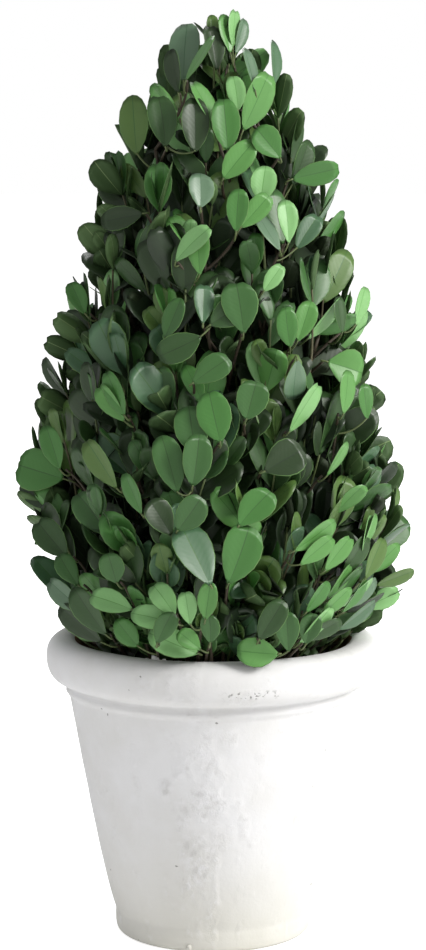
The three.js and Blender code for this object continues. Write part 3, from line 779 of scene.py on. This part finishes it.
def nearest_twig(points):
    """The point on a twig that lies nearest to each point, and the number of its twig."""
    gap = np.linalg.norm(points[:, None, None] - twig_paths[None], axis=-1)
    nearest = gap.reshape(len(points), -1).argmin(1)
    return twig_paths.reshape(-1, 3)[nearest], nearest // TWIG_RINGS


# Each shoot leaves the nearest twig to a place a little under its foot.
shoot_root, shoot_twig = nearest_twig(foot - 10 * way)
shoot_root[-LOW:] = foot[-LOW:] * np.array([0.93, 0.93, 1]) - np.array([0, 0, 4.0])


# Sprays that stand out at the front. Each row is the x and z where the leaves of a spray
# meet, the way the spray points in degrees to the right of upright, how far its leaves fan
# out in degrees and how far apart, side by side, their feet are, a leaf's length and width
# as seen, and the tone of each leaf from left to right. A tone is partly the leaf's own
# green and partly painted light and shade: a leaf that catches the light is given a
# lighter tone, and one in shade a darker one.
FRONT_SPRAYS = [
    # the tip of the cone and the first leaves under it
    (-14, 351, -12, 0, 0, 19, 5, "deep"),
    (-12, 356, 0, 0, 0, 24, 11, "sheen"),
    (-11, 356, 30, 0, 0, 21, 6, "fresh"),
    (4, 360, 0, 12, 5, 18, 9, "deep deep"),
    (8, 367, 5, 25, 2, 15, 6, "fresh light sheen"),
    (21, 352, -4, 12, 8, 18, 7, "sheen grey_green"),
    (2, 337, -26, 0, 0, 22, 9, "fresh"),
    (6, 328, -5, 0, 0, 22, 12, "full"),
    (12, 336, 27, 0, 0, 23, 12, "fresh"),
    (10, 344, -2, 0, 0, 14, 8, "light"),
    (-19, 327, -3, 6, 24, 22, 12, "olive dark deep"),
    # the shoulder
    (27, 325, -38, 0, 0, 16, 12, "full"),
    (4, 317, 38, 0, 0, 20, 11, "fresh"),
    (32, 314, 52, 50, 0, 20, 9, "dark full"),
    (-5, 306, 5, 0, 0, 14, 11, "sheen"),
    (-28, 303, -100, 0, 0, 16, 10, "deep"),
    (19, 308, 5, 0, 0, 14, 11, "light"),
    (10, 296, 22, 40, 2, 18, 9, "full fresh"),
    (30, 289, 0, 62, 7, 17, 9, "sheen light grey_green"),
    (38, 294, 40, 0, 0, 20, 3, "sheen"),
    # the middle
    (-10, 281, 16, 42, -10, 20, 9, "fresh light"),
    (20, 273, 35, 0, 0, 12, 7, "light"),
    (-4, 261, 3, 0, 0, 18, 9, "grey_green"),
    (12, 257, -5, 0, 0, 21, 15, "middle"),
    (-3, 257, -30, 176, 4, 18, 12, "dark dark"),
    (-19, 255, 22, 0, 0, 18, 8, "middle"),
    (-52, 262, -22, 0, 0, 15, 8, "full"),
    (-8, 238, 52, 0, 0, 20, 11, "middle"),
    (-35, 222, -30, 14, 0, 19, 7, "fresh full"),
    (32, 251, 5, 30, 3, 17, 9, "full fresh"),
    (38, 253, 58, 34, 0, 21, 5, "light full"),
    (55, 255, 4, 22, 6, 17, 6, "dark light"),
    (46, 244, 107, 0, 0, 16, 16, "fresh"),
    (33, 247, -173, 0, 0, 17, 11, "sheen"),
    (30, 218, 32, 0, 0, 24, 7, "light"),
    (57, 221, 4, 16, -10, 17, 7, "full fresh"),
    (-2, 212, -11, -6, 10, 18, 14, "middle full"),
    (13, 224, 15, 0, 0, 15, 13, "middle"),
    (20, 204, 60, 0, 0, 16, 15, "deep"),
    # the left side, with one broad leaf that stands off it
    (-62, 200, -15, 0, 0, 18, 9, "full"),
    (-61, 195, -75, 0, 0, 21, 18, "full"),
    (-38, 196, -32, 0, 0, 22, 8, "olive"),
    (-28, 187, -23, 0, 0, 19, 5, "full"),
    (-59, 165, -42, 0, 0, 19, 12, "dark"),
    (-58, 147, -42, 0, 0, 23, 12, "grey_green"),
    (-54, 155, -36, 0, 0, 16, 9, "middle"),
    (-52, 143, -53, 0, 0, 18, 4, "sheen"),
    (-38, 159, -14, 0, 0, 12, 10, "middle"),
    (-44, 132, -44, 14, 3, 22, 9, "deep dark"),
    # the lower half, right of it
    (-11, 196, -1, 24, 6, 21, 12, "middle middle"),
    (-15, 179, 4, 68, 2, 18, 12, "deep middle"),
    (10, 183, 38, 0, 0, 18, 13, "full"),
    (45, 200, 33, 0, 0, 16, 4, "fresh"),
    (33, 168, 54, 8, -4, 19, 8, "fresh fresh"),
    (48, 160, 36, 0, 9, 17, 8, "fresh dark"),
    (60, 168, 18, 14, 0, 15, 4, "light fresh"),
    (64, 154, 48, 48, 8, 18, 7, "olive fresh olive"),
    (48, 148, 47, 14, 8, 17, 5, "fresh middle light"),
    (40, 144, 40, 10, 8, 16, 6, "full fresh"),
    # the pair that opens straight to the front
    (-1, 161, -26, 0, 0, 25, 17, "grey_green"),
    (6, 160, 24, 0, 0, 25, 16, "full"),
    # the young light spray over the rim
    (-6, 130, -66, 0, 0, 20, 12, "light"),
    (-14, 143, -70, 0, 0, 19, 10, "light"),
    (-15, 147, -30, 0, 0, 14, 10, "light"),
    (-32, 148, -68, 0, 0, 18, 10, "light"),
    (-6, 144, 0, 14, 6, 15, 8, "light fresh"),
    (-3, 133, -20, 50, 4, 13, 8, "fresh middle"),
    (-26, 133, -8, 60, 8, 14, 9, "full middle"),
    # over the rim, right of the middle
    (26, 130, -85, 0, 0, 17, 12, "fresh"),
    (37, 133, 10, 0, 0, 15, 9, "middle"),
    (24, 133, 14, 33, -12, 18, 10, "middle dark"),
    (35, 132, 52, 20, 2, 19, 6, "light dark"),
    (53, 142, 56, 30, 4, 17, 5, "full sheen deep"),
    (51, 134, 60, 0, 0, 20, 5, "grey_green"),
]
GLOSSY = ["grey_green", "sheen"]  # the tones of the leaves that mirror the window


def front_leaves():
    """The feet and tips of the front sprays' leaves, the width of each blade, its roll about
    its own length, its tone and its spray. Leaf k of n stands at the share
    k / (n - 1) - 1/2 of the fan and of the distance between the feet. Every second leaf is
    a little higher and further in front, and of every three sprays the second and third
    stand further in front too. A tip lies on the cone's face, and its foot near it, but a
    glossy leaf tips back, foot foremost, so that it mirrors the window. A leaf that looks
    narrower than half its length is a wider one rolled away by the angle whose cosine is
    the one width over the other."""
    tones = [row[-1].split() for row in FRONT_SPRAYS]
    counts = [len(names) for names in tones]
    tones = np.concatenate(tones)
    spray = np.repeat(np.arange(len(counts)), counts)
    leaves = np.repeat(counts, counts)
    order = np.concatenate([np.arange(count) for count in counts])
    share = order / np.maximum(leaves - 1, 1) - 0.5 * (leaves > 1)
    x, z, lean, fan, apart, length, seen = np.repeat([row[:-1] for row in FRONT_SPRAYS], counts, axis=0).T
    points = np.radians(lean + fan * share)
    x = x + apart * share * np.cos(np.radians(lean))
    z = z - apart * share * np.sin(np.radians(lean)) + 2.5 * (order % 2)
    length = length * np.clip(rng.normal(1, 0.06, len(x)), 0.85, 1.15)
    tip_x, tip_z = x + length * np.sin(points), z + length * np.cos(points)
    reach = np.interp(np.minimum(tip_z, 381), *OUTLINE.T)
    ahead = np.sqrt(np.maximum(reach**2 - tip_x**2, (0.25 * reach) ** 2))
    glossy = np.isin(tones, GLOSSY)
    tip_y = 0.2 * length * glossy - ahead - 1.4 * (order % 2) - 1.8 * (spray % 3)
    foot_reach = np.interp(z, *OUTLINE.T) - 1
    foot_y = -np.sqrt(np.maximum(foot_reach**2 - x**2, 1))
    foot_y = np.clip(foot_y, tip_y - 0.2 * length, tip_y + 0.2 * length)
    foot_y = np.where(glossy, tip_y - 0.35 * length, foot_y)
    wide = np.maximum(seen, 0.52 * length)
    roll = np.arccos(np.clip(seen / wide, 0, 1)) * np.where(x > 0, 1, -1)
    feet, tips = np.stack([x, foot_y, z], 1), np.stack([tip_x, tip_y, tip_z], 1)
    return feet, tips, wide, roll, tones, spray


spray_foot, spray_tip, spray_wide, spray_roll, spray_tone, spray_of = front_leaves()
spray_axis = unit(spray_tip - spray_foot)
# Each spray has a stem, which leaves a twig, or low down the mix, and ends at its highest
# leaf, and each leaf has a stalk down to the stem.
SPRAYS = len(FRONT_SPRAYS)
spray_leaves = [np.flatnonzero(spray_of == n) for n in range(SPRAYS)]
top_leaf = np.array([own[spray_foot[own, 2].argmax()] for own in spray_leaves])
low_leaf = np.array([own[spray_foot[own, 2].argmin()] for own in spray_leaves])
lowest_foot = spray_foot[low_leaf]
spray_root, spray_twig = nearest_twig(lowest_foot * np.array([0.72, 0.72, 1.0]) - np.array([0, 0, 16.0]))
from_mix = lowest_foot[:, 2] < 165
spray_root[from_mix] = (lowest_foot * np.array([0.62, 0.62, 0]) + WOOD_FOOT)[from_mix]
bend = lowest_foot * np.array([0.80, 0.80, 1]) - np.array([0, 0, 8.0])
spray_paths = bent(spray_root, bend, spray_foot[top_leaf] * np.array([0.96, 0.96, 1]), steps=20)
start = spray_foot - 7 * spray_axis
gap = np.linalg.norm(start[:, None] - spray_paths[spray_of], axis=-1)
stalk_root = spray_paths[spray_of, gap.argmin(1)]
stalk_end = spray_foot + 0.5 * spray_axis
stalk_paths = bent(stalk_root, 0.5 * stalk_root + 0.5 * start, stalk_end, steps=8)

# ---------------------------------------------------------------- the leaves
# Thick little leaves in pairs, each pair a quarter turn on from the last: broadest past
# the middle, round or notched at the tip, with a sunk midrib, a pale edge and a waxy
# upper face. The last pairs stand nearly closed, and the older ones open wider.

PAIRS = 5
LEAF_LENGTH = 22.5  # mm, a full-grown leaf
COLUMNS = np.array([-1, -0.95, -0.5, -0.03, 0.03, 0.5, 0.95, 1])
EDGE_ROWS = np.array([0, 0.07, 0.22, 0.40, 0.59, 0.76, 0.895])  # where each row meets the edge
RIB_ROWS = np.array([0, 0.075, 0.24, 0.44, 0.65, 0.85, 1.0])  # and where it meets the rib
BLADE, UNDER, EDGE, RIB, UNDER_RIB = range(5)  # the kinds of a leaf's faces


def leaf_faces():
    """The corners of the faces of one leaf, the place where each face starts, and its kind.
    The leaf's points are 4 at the foot, then 8 above and 4 below in each row, then 8 at the
    tip. A face runs between two columns of one row and the same columns of the next."""
    foot = {0: 0, 3: 1, 4: 2, 7: 3}
    above = [{c: 4 + 12 * r + c for c in range(8)} for r in range(5)]
    below = [{0: row[0], 7: row[7], **{c: row[7] + c - 1 for c in (2, 3, 4, 5)}} for row in above]
    tip = {c: 64 + c for c in range(8)}
    faces, kinds = [], []
    for side, rows in enumerate(([foot, *above, tip], [foot, *below, tip])):
        for low, high in zip(rows, rows[1:]):
            shared = [c for c in sorted(low) if c in high]
            for left, right in zip(shared, shared[1:]):
                face = [low[c] for c in sorted(low) if left <= c <= right]
                face += [high[c] for c in sorted(high, reverse=True) if left <= c <= right]
                faces.append(face if side else face[::-1])
                edge = right - left == 1 and (left == 0 or right == 7)
                if side:
                    kinds.append(UNDER_RIB if left == 3 else UNDER)
                else:
                    kinds.append(RIB if left == 3 else EDGE if edge else BLADE)
    sizes = np.array([len(face) for face in faces])
    return np.concatenate(faces), np.cumsum(sizes) - sizes, np.array(kinds)


def leaf_skins(root, axis, face, size, wide, shape):
    """The points of many leaves. u runs from -1 to 1 across the blade and v from 0 to 1
    along it. With m, p and n for the shape's widest, wedge and blunt, the half width is
    sin(90 degrees * v / m) to the power p up to the widest place m, and past it the square
    root of 1 - ((v - m) / (1 - m))^n, which makes the tip round. The height is fold * |y|
    + cup * y^2 across, less curl * v^2 along and plus a twist * y * v, with the rib sunk
    and the edge turned down a little."""
    fold, curl, cup, twist, sway, m, p, n, notch = (part[:, None, None] for part in shape.values())
    u = COLUMNS[None, None, :]
    edge = EDGE_ROWS[None, :, None]
    rib = RIB_ROWS[None, :, None]
    wedge = np.sin(math.pi / 2 * np.clip(edge / m, 0, 1)) ** p
    dome = np.sqrt(np.clip(1 - np.clip((edge - m) / (1 - m), 0, 1) ** n, 0, 1))
    half = np.maximum(np.where(edge < m, wedge, dome), 0.085)
    y = u * half
    v = edge + (rib - edge) * (1 - u**2)
    arc = m + (1 - m) * np.clip(1 - y**2, 0, 1) ** (1 / n) - notch * np.exp(-((y / 0.16) ** 2))
    v = np.where(edge == EDGE_ROWS[-1], arc, v)
    length = size[:, None, None]
    w = wide[:, None, None] / 2
    z = w * (fold * np.abs(y) + cup * y**2) - length * curl * v**2 + w * twist * y * v
    z = z - 0.2 * (np.abs(u) < 0.1) * (v > 0.04) * (v < 0.93) - 0.10 * (np.abs(u) == 1) * (v > 0.04)
    x = length * v * np.cos(0.8 * curl)
    grid = np.stack(np.broadcast_arrays(x, y * w + length * sway * v**2, z), -1)
    low = grid[:, 1:-1, 2:6] - np.array([0, 0, 0.42])
    rows = np.concatenate([grid[:, 1:-1], low], 2).reshape(len(root), -1, 3)
    local = np.concatenate([grid[:, 0, [0, 3, 4, 7]], rows, grid[:, -1]], 1)
    basis = np.stack([axis, np.cross(face, axis), face], 1)
    return root[:, None] + np.einsum("nvk,nkc->nvc", local, basis)


def leaf_pairs(tip, way, leafy, rng):
    """Where the leaves of many shoots stand, which way they point and face, and how far
    they are grown. Each pair sits further down the shoot, opens wider and lies a quarter
    turn on. A blade starts square to its shoot and turns part of the way to the light,
    which comes from outside and above, and at the plant's sides it turns almost all of it."""
    count = len(tip)
    k = np.arange(PAIRS)
    down = np.array([0.5, 3.2, 10.5, 19.5, 29.5])[None] * rng.uniform(0.8, 1.1, (count, 1))
    down = np.minimum(down, leafy[:, None] * np.array([0.02, 0.3, 0.6, 0.85, 1.0])[None])
    aside = unit(np.cross(way, np.array([0.13, 0.21, 1.0])))
    across = np.cross(way, aside)
    spin = rng.uniform(0, 2 * math.pi, (count, 1)) + k * math.pi / 2 + rng.normal(0, 0.25, (count, PAIRS))
    opened = np.radians(np.array([11, 19, 27, 35, 43])[None] + rng.normal(0, 8, (count, PAIRS)))
    grown = np.array([0.66, 0.92, 1.0, 0.98, 0.9])[None] * rng.uniform(0.82, 1.12, (count, 1))
    grown = grown[:, :, None] * np.clip(rng.normal(1, 0.11, (count, PAIRS, 2)), 0.6, 1.2)
    root = tip[:, None] - down[..., None] * way[:, None]
    root = np.broadcast_to(root[:, :, None], (count, PAIRS, 2, 3))
    side = np.cos(spin)[..., None] * aside[:, None] + np.sin(spin)[..., None] * across[:, None]
    side = side[:, :, None] * np.array([1.0, -1.0])[:, None]
    opened = (opened[..., None] + rng.normal(0, 0.12, (count, PAIRS, 2)))[..., None]
    along = way[:, None, None]
    axis = unit(np.cos(opened) * along + np.sin(opened) * side)
    square = np.sin(opened) * along - np.cos(opened) * side
    light = unit(root * np.array([1, 1, 0])) + np.array([0, 0, 0.45])
    light = unit(light + rng.normal(0, 0.24, axis.shape))
    part = rng.uniform(0.4, 0.98, (count, PAIRS, 2, 1))
    part = np.where(np.abs(root[..., :1]) > 42, 0.78 + 0.22 * part, part)
    face = square_to(axis, (1 - part) * square + part * light)
    shoot = np.broadcast_to(np.arange(count)[:, None, None], grown.shape)
    pair = np.broadcast_to(k[None, :, None], grown.shape)
    flat = [part.reshape(-1, 3) for part in (root, axis, face)]
    return *flat, grown.ravel(), shoot.ravel(), pair.ravel()


def leaf_paint(name, color, roughness, coat, veins):
    """A leaf's face: one green, a waxy coat that is duller in places, and the side veins
    as faint ripples that leave the rib at a slant."""
    paint, node, reckon, wire = new_paint(name, color, roughness)
    wire(coat, "Coat Weight")
    wire(0.38, "Coat Roughness")
    wire(0.3, "Specular IOR Level")
    at = node("TexCoord")
    dull = node("TexNoise", Vector=at["Object"], Scale=160.0, Detail=2.0)["Fac"]
    dulled = node("MapRange", Value=dull, To_Min=roughness - 0.08, To_Max=roughness + 0.1)["Result"]
    wire(dulled, "Roughness")
    u, v, _ = (node("SeparateXYZ", Vector=at["UV"])[axis] for axis in "XYZ")
    off = reckon("ABSOLUTE", reckon("SUBTRACT", u, 0.5))
    slant = reckon("MULTIPLY", off, -38.0)
    slant = reckon("MULTIPLY_ADD", v, 62.0, slant)
    ripple = reckon("SINE", slant)
    height = reckon("MULTIPLY_ADD", ripple, veins, dull)
    wire(node("Bump", Strength=0.3, Distance=0.00025, Height=height)["Normal"], "Normal")
    return paint


BLADES = {
    "shaded": (0.022, 0.040, 0.018),
    "deep": (0.024, 0.050, 0.016),
    "dark": (0.032, 0.080, 0.021),
    "middle": (0.046, 0.128, 0.032),
    "grey_green": (0.060, 0.140, 0.065),
    "full": (0.064, 0.195, 0.042),
    "olive": (0.088, 0.170, 0.038),
    "fresh": (0.108, 0.285, 0.070),
    "light": (0.205, 0.430, 0.155),
    # The palest glossy tone is a painted sheen: the window's reflection painted into a pale grey-green,
    # over a real coat.
    "sheen": (0.105, 0.190, 0.108),
}
LIGHTEST = 8  # the last tone that a shoot's own leaves take
# A blade's rib takes a darker tone: painted shade in the sunk groove.
RIB_TONES = np.array([0, 0, 1, 2, 3, 3, 3, 5, 7, 4])  # each tone's rib is as dark or darker
blade_paints = [
    leaf_paint(f"blade_{tone}", green, 0.42, {"sheen": 0.6, "grey_green": 0.45}.get(tone, 0.3), 0.10)
    for tone, green in BLADES.items()
]
UNDERS = {
    "under_dull": (0.050, 0.098, 0.032),
    "under_pale": (0.088, 0.160, 0.056),
    "under_shaded": (0.020, 0.033, 0.013),
}
UNDER_SLOT = len(BLADES)  # the undersides' paints follow the blades' in the list of paints
EDGE_SLOT = UNDER_SLOT + len(UNDERS)
UNDER_RIB_SLOT = EDGE_SLOT + 1
under_paints = [leaf_paint(tone, green, 0.62, 0.0, 0.05) for tone, green in UNDERS.items()]
edge_paint = leaf_paint("leaf_edge", (0.11, 0.22, 0.065), 0.5, 0.1, 0.0)
under_rib_paint = leaf_paint("leaf_under_rib", (0.17, 0.25, 0.10), 0.5, 0.1, 0.0)
leaf_paints = [*blade_paints, *under_paints, edge_paint, under_rib_paint]

leaf_root, leaf_axis, leaf_face, grown, of_shoot, of_pair = leaf_pairs(tip, way, leafy_length, rng)
# The front sprays' leaves face the front, rolled about their length. The greyest leaves
# are the glossiest, and they are turned to the window. The palest of them also have the
# window's reflection painted into their colour: a painted sheen.
spray_length = np.linalg.norm(spray_tip - spray_foot, axis=1)
glossy = np.isin(spray_tone, GLOSSY)[:, None]
spray_face = np.where(glossy, [0.34, -0.84, 0.44], [0.10, -1.0, 0.20])
spray_face = square_to(spray_axis, spray_face + rng.normal(0, 0.08, spray_axis.shape))
aside = np.cross(spray_axis, spray_face)
spray_face = spray_face * np.cos(spray_roll)[:, None] + aside * np.sin(spray_roll)[:, None]

PLACED = len(spray_foot)
free = np.arange(len(grown) + PLACED) < len(grown)
leaf_size = np.concatenate([LEAF_LENGTH * grown, spray_length])
leaf_root = np.concatenate([leaf_root, spray_foot])
leaf_axis = np.concatenate([leaf_axis, spray_axis])
leaf_face = np.concatenate([leaf_face, spray_face])
of_shoot = np.concatenate([of_shoot, np.zeros(PLACED, int)])
of_pair = np.concatenate([of_pair, np.zeros(PLACED, int)])
many = len(leaf_size)
upper_share = np.clip((leaf_root[:, 2] - 170) / 160, 0, 1)
leaf_wide = leaf_size * np.clip(rng.normal(0.55, 0.09, many) - 0.07 * upper_share, 0.34, 0.80)
leaf_wide[~free] = spray_wide
leaf_shape = dict(
    fold=rng.normal(0.10, 0.20, many),
    curl=rng.normal(0.05, 0.08, many),
    cup=rng.normal(0.0, 0.12, many),
    twist=rng.normal(0.0, 0.14, many),
    sway=rng.normal(0.0, 0.05, many),
    widest=rng.uniform(0.51, 0.64, many),  # where along it the leaf is widest
    wedge=rng.uniform(0.72, 1.12, many),  # how wedge-shaped the foot is
    blunt=rng.uniform(1.9, 2.8, many),  # how blunt the tip is
    notch=np.maximum(rng.normal(0.015, 0.022, many), 0),
)
# The front leaves are more even, and rounder at the foot.
EVEN = {"fold": (0.12, 0.06), "curl": (0.06, 0.04), "cup": (0.06, 0.05), "twist": (0.0, 0.07)}
for part, (middle, spread) in EVEN.items():
    leaf_shape[part][~free] = rng.normal(middle, spread, PLACED)
leaf_shape["wedge"][~free] = rng.uniform(0.7, 0.95, PLACED)
# A leaf that would pass into the pot's rim or the mix, or over the rim's edge, is left out.
leaf_points = leaf_skins(leaf_root, leaf_axis, leaf_face, leaf_size, leaf_wide, leaf_shape)
leaf_radius = np.hypot(leaf_points[..., 0], leaf_points[..., 1])
lowest = np.where(leaf_radius > 52.5, over_rim(leaf_radius, 126.8, 0.22), 118.5)
grows = ((leaf_points[..., 2] > lowest) & (leaf_points[..., 2] < HEIGHT)).all(1)
# The cone is clipped, so no leaf stands far past its outline, and it is fuller on the
# right than on the left where it meets the pot.
past = leaf_radius - np.interp(leaf_points[..., 2], *OUTLINE.T)
left_side = -(63 + 0.4 * np.maximum(leaf_points[..., 2] - 138, 0))
grows &= (past < 6).all(1) & (leaf_points[..., 0] > left_side).all(1)
# A leaf of the shoots that would hide a front spray's leaf is left out too.
for foot_point, tip_point, blade_wide in zip(spray_foot, spray_tip, spray_wide):
    span = (tip_point - foot_point)[[0, 2]]
    away = leaf_points[..., [0, 2]] - foot_point[[0, 2]]
    along = np.clip(away @ span / (span @ span), 0.1, 1)
    aside = np.linalg.norm(away - along[..., None] * span, axis=-1)
    level = foot_point[1] + along * (tip_point[1] - foot_point[1])
    grows &= ~((aside < 0.46 * blade_wide) & (leaf_points[..., 1] < level + 3)).any(1) | ~free
grows |= ~free

# The paint of a shoot's leaves: most are middling green and some are young and light.
# Those that stand deep in the crown, and each shoot's oldest pair, are painted nearly
# black: painted shade.
TONE_SHARES = [0.11, 0.17, 0.20, 0.10, 0.18, 0.05, 0.13, 0.06]  # of the shoots, tone 1 and up
tone_of_shoot = rng.choice(np.arange(1, LIGHTEST + 1), SHOOTS, p=TONE_SHARES)
tone = tone_of_shoot[of_shoot]
older = (of_pair >= 3).astype(int) * rng.integers(0, 3, many)
younger = ((of_pair <= 1) & (rng.random(many) < 0.3)).astype(int)
# Leaves on the window side are painted a tone lighter, and those on the far side a tone darker: painted
# light and shade.
window_side = np.clip(0.5 + leaf_root[:, 0] / 120, 0, 1)
lit = (rng.random(many) < 0.85 * window_side).astype(int)
lit = lit - (rng.random(many) < 0.75 * (1 - window_side)).astype(int)
tone = np.clip(tone - older + younger + lit, 1, LIGHTEST)
# Leaves deep in the crown and the oldest pairs take the tones shaded and deep, with a shaded underside:
# painted shade.
deep_in = (standing[of_shoot] == IN_SHADE) | (of_pair == PAIRS - 1)
tone = np.where(deep_in, rng.integers(0, 2, many), tone)
under_tone = np.where(deep_in, list(UNDERS).index("under_shaded"), rng.integers(0, 2, many))
tone[~free] = [list(BLADES).index(name) for name in spray_tone]

leaf_corners, leaf_starts, kinds = leaf_faces()
uv_grid = np.stack(np.broadcast_arrays((COLUMNS[None] + 1) / 2, RIB_ROWS[:, None]), -1)
uv_rows = np.concatenate([uv_grid[1:-1], uv_grid[1:-1, 2:6]], 1).reshape(-1, 2)
uv_all = np.concatenate([uv_grid[0, [0, 3, 4, 7]], uv_rows, uv_grid[-1]])
corners = len(uv_all)
LEAF_PIECES = 4
chosen = np.flatnonzero(grows)
order = np.argsort(leaf_root[chosen, 2])
for number, batch in enumerate(np.array_split(chosen[order], LEAF_PIECES)):
    index = np.arange(len(batch))[:, None]
    faces = (leaf_corners + corners * index).ravel(), (leaf_starts + len(leaf_corners) * index).ravel()
    slots = np.where(kinds == BLADE, tone[batch][:, None], 0)
    slots = np.where(kinds == UNDER, UNDER_SLOT + under_tone[batch][:, None], slots)
    slots = np.where(kinds == EDGE, EDGE_SLOT, slots)
    slots = np.where(kinds == RIB, RIB_TONES[tone[batch]][:, None], slots)
    slots = np.where(kinds == UNDER_RIB, UNDER_RIB_SLOT, slots)
    # Deep leaves have no pale edge or rib.
    slots = np.where((kinds >= EDGE) & deep_in[batch][:, None], tone[batch][:, None], slots)
    marks = np.tile(uv_all[leaf_corners].reshape(1, -1), (len(batch), 1))
    leaves = skin(f"leaves_{number + 1}", leaf_points[batch] * MM, faces, leaf_paints, slots.ravel(), marks)
    if number == 0:
        masses = [f"foliage_lower_{n}" for n in range(1, 7)] + [f"foliage_upper_{n}" for n in range(1, 6)]
        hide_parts(*masses, "foliage_tip")
    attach(leaves, "root")

# ---------------------------------------------------------------- the young wood
# The stems, twigs and leafy shoots, round and thin: brown where they are old, tan and
# yellow-green where they are young.


def young_wood(name, dark, light):
    """Smooth young bark with a satin face and faint streaks."""
    paint, node, _, wire = new_paint(name, light, 0.6)
    at = node("TexCoord")["Object"]
    streaks = node("TexNoise", Vector=at, Scale=500.0, Detail=3.0)["Fac"]
    wire(node("MixRGB", Fac=streaks, Color1=(*dark, 1), Color2=(*light, 1))["Color"], "Base Color")
    wire(node("MapRange", Value=streaks, To_Min=0.45, To_Max=0.75)["Result"], "Roughness")
    wire(node("Bump", Strength=0.3, Distance=0.0002, Height=streaks)["Normal"], "Normal")
    return paint


# A shoot ends at its highest leaf, and one without leaves is left out, like a twig that
# carries no shoot.
NO_LEAF = 99.0  # mm from a shoot's tip, past the foot of every shoot
highest = np.full(SHOOTS, NO_LEAF)
own = np.flatnonzero(grows & free)
np.minimum.at(highest, of_shoot[own], np.linalg.norm(leaf_root[own] - tip[of_shoot[own]], axis=1))
leafy_shoots = np.flatnonzero(highest < NO_LEAF)
shoot_ends = (tip - highest[:, None] * way)[leafy_shoots]
shoot_paths = bent(shoot_root[leafy_shoots], foot[leafy_shoots], shoot_ends, steps=14)
carrying = shoot_twig[leafy_shoots][standing[leafy_shoots] != IN_MIX]
carrying = np.unique(np.concatenate([carrying, spray_twig[~from_mix]]))

wood_paints = [
    young_wood("twig_brown", (0.030, 0.023, 0.014), (0.085, 0.066, 0.040)),
    young_wood("shoot_tan", (0.052, 0.050, 0.024), (0.125, 0.115, 0.056)),
    young_wood("shoot_green", (0.060, 0.095, 0.028), (0.150, 0.190, 0.070)),
]
BROWN, TAN, GREEN = range(len(wood_paints))
STEM_RINGS = 12
along = np.linspace(0, 1, STEM_RINGS)
stem_paths, stem_radii = [], []
for tier in TIERS.values():
    turn, _, bend, end = boughs_of(tier)
    head = spherical(tier["head"][0] * MM, turn, tier["head"][1] * MM)
    stem_paths.append(bent(end, end + 11 * MM * unit(end - bend), head, STEM_RINGS))
    stem_radii.append(np.tile(tier["thick"] * 0.8 * MM * (1 - 0.55 * along), (tier["count"], 1)))
stem_paths.append(np.linspace(LEADER_FOOT, LEADER_HEAD, STEM_RINGS)[None] * MM)
stem_radii.append(2.0 * MM * (1 - 0.6 * along)[None])

WOOD_SIDES = 6


def young_tubes(paths, foot_radius, end_radius):
    """Skins along many paths in mm, which taper evenly from one radius to the other."""
    radii = np.linspace(foot_radius, end_radius, paths.shape[1]) * MM
    return tubes(paths * MM, np.tile(radii, (len(paths), 1)), WOOD_SIDES)


wood = {
    "stems": tubes(np.concatenate(stem_paths), np.concatenate(stem_radii), WOOD_SIDES),
    "twigs": young_tubes(twig_paths[carrying], 1.3, 0.8),
    "shoots": young_tubes(shoot_paths, 0.75, 0.42),
    "sprays": young_tubes(spray_paths, 0.8, 0.5),
    "stalks": young_tubes(stalk_paths, 0.42, 0.36),
}
BROWN_RINGS = 4  # a shoot is brown up to here, and tan or green from there on
shoot_tone = TAN + rng.integers(0, 2, len(leafy_shoots))
wood_points, wood_faces, wood_slots, so_far = [], [], [], 0
for kind, (points, faces) in wood.items():
    wood_points.append(points.reshape(-1, 3))
    wood_faces.append(faces.reshape(-1, 4) + so_far)
    so_far += len(wood_points[-1])
    slots = np.full(faces.shape[:2], GREEN if kind == "stalks" else BROWN)
    if kind == "shoots":
        ring_of = np.arange(faces.shape[1]) // WOOD_SIDES
        slots = np.where(ring_of < BROWN_RINGS, BROWN, shoot_tone[:, None])
    wood_slots.append(slots.ravel())
wood_points, wood_faces = np.concatenate(wood_points), np.concatenate(wood_faces)
twigs = skin("twigs", wood_points, wood_faces, wood_paints, np.concatenate(wood_slots))
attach(twigs, "root")
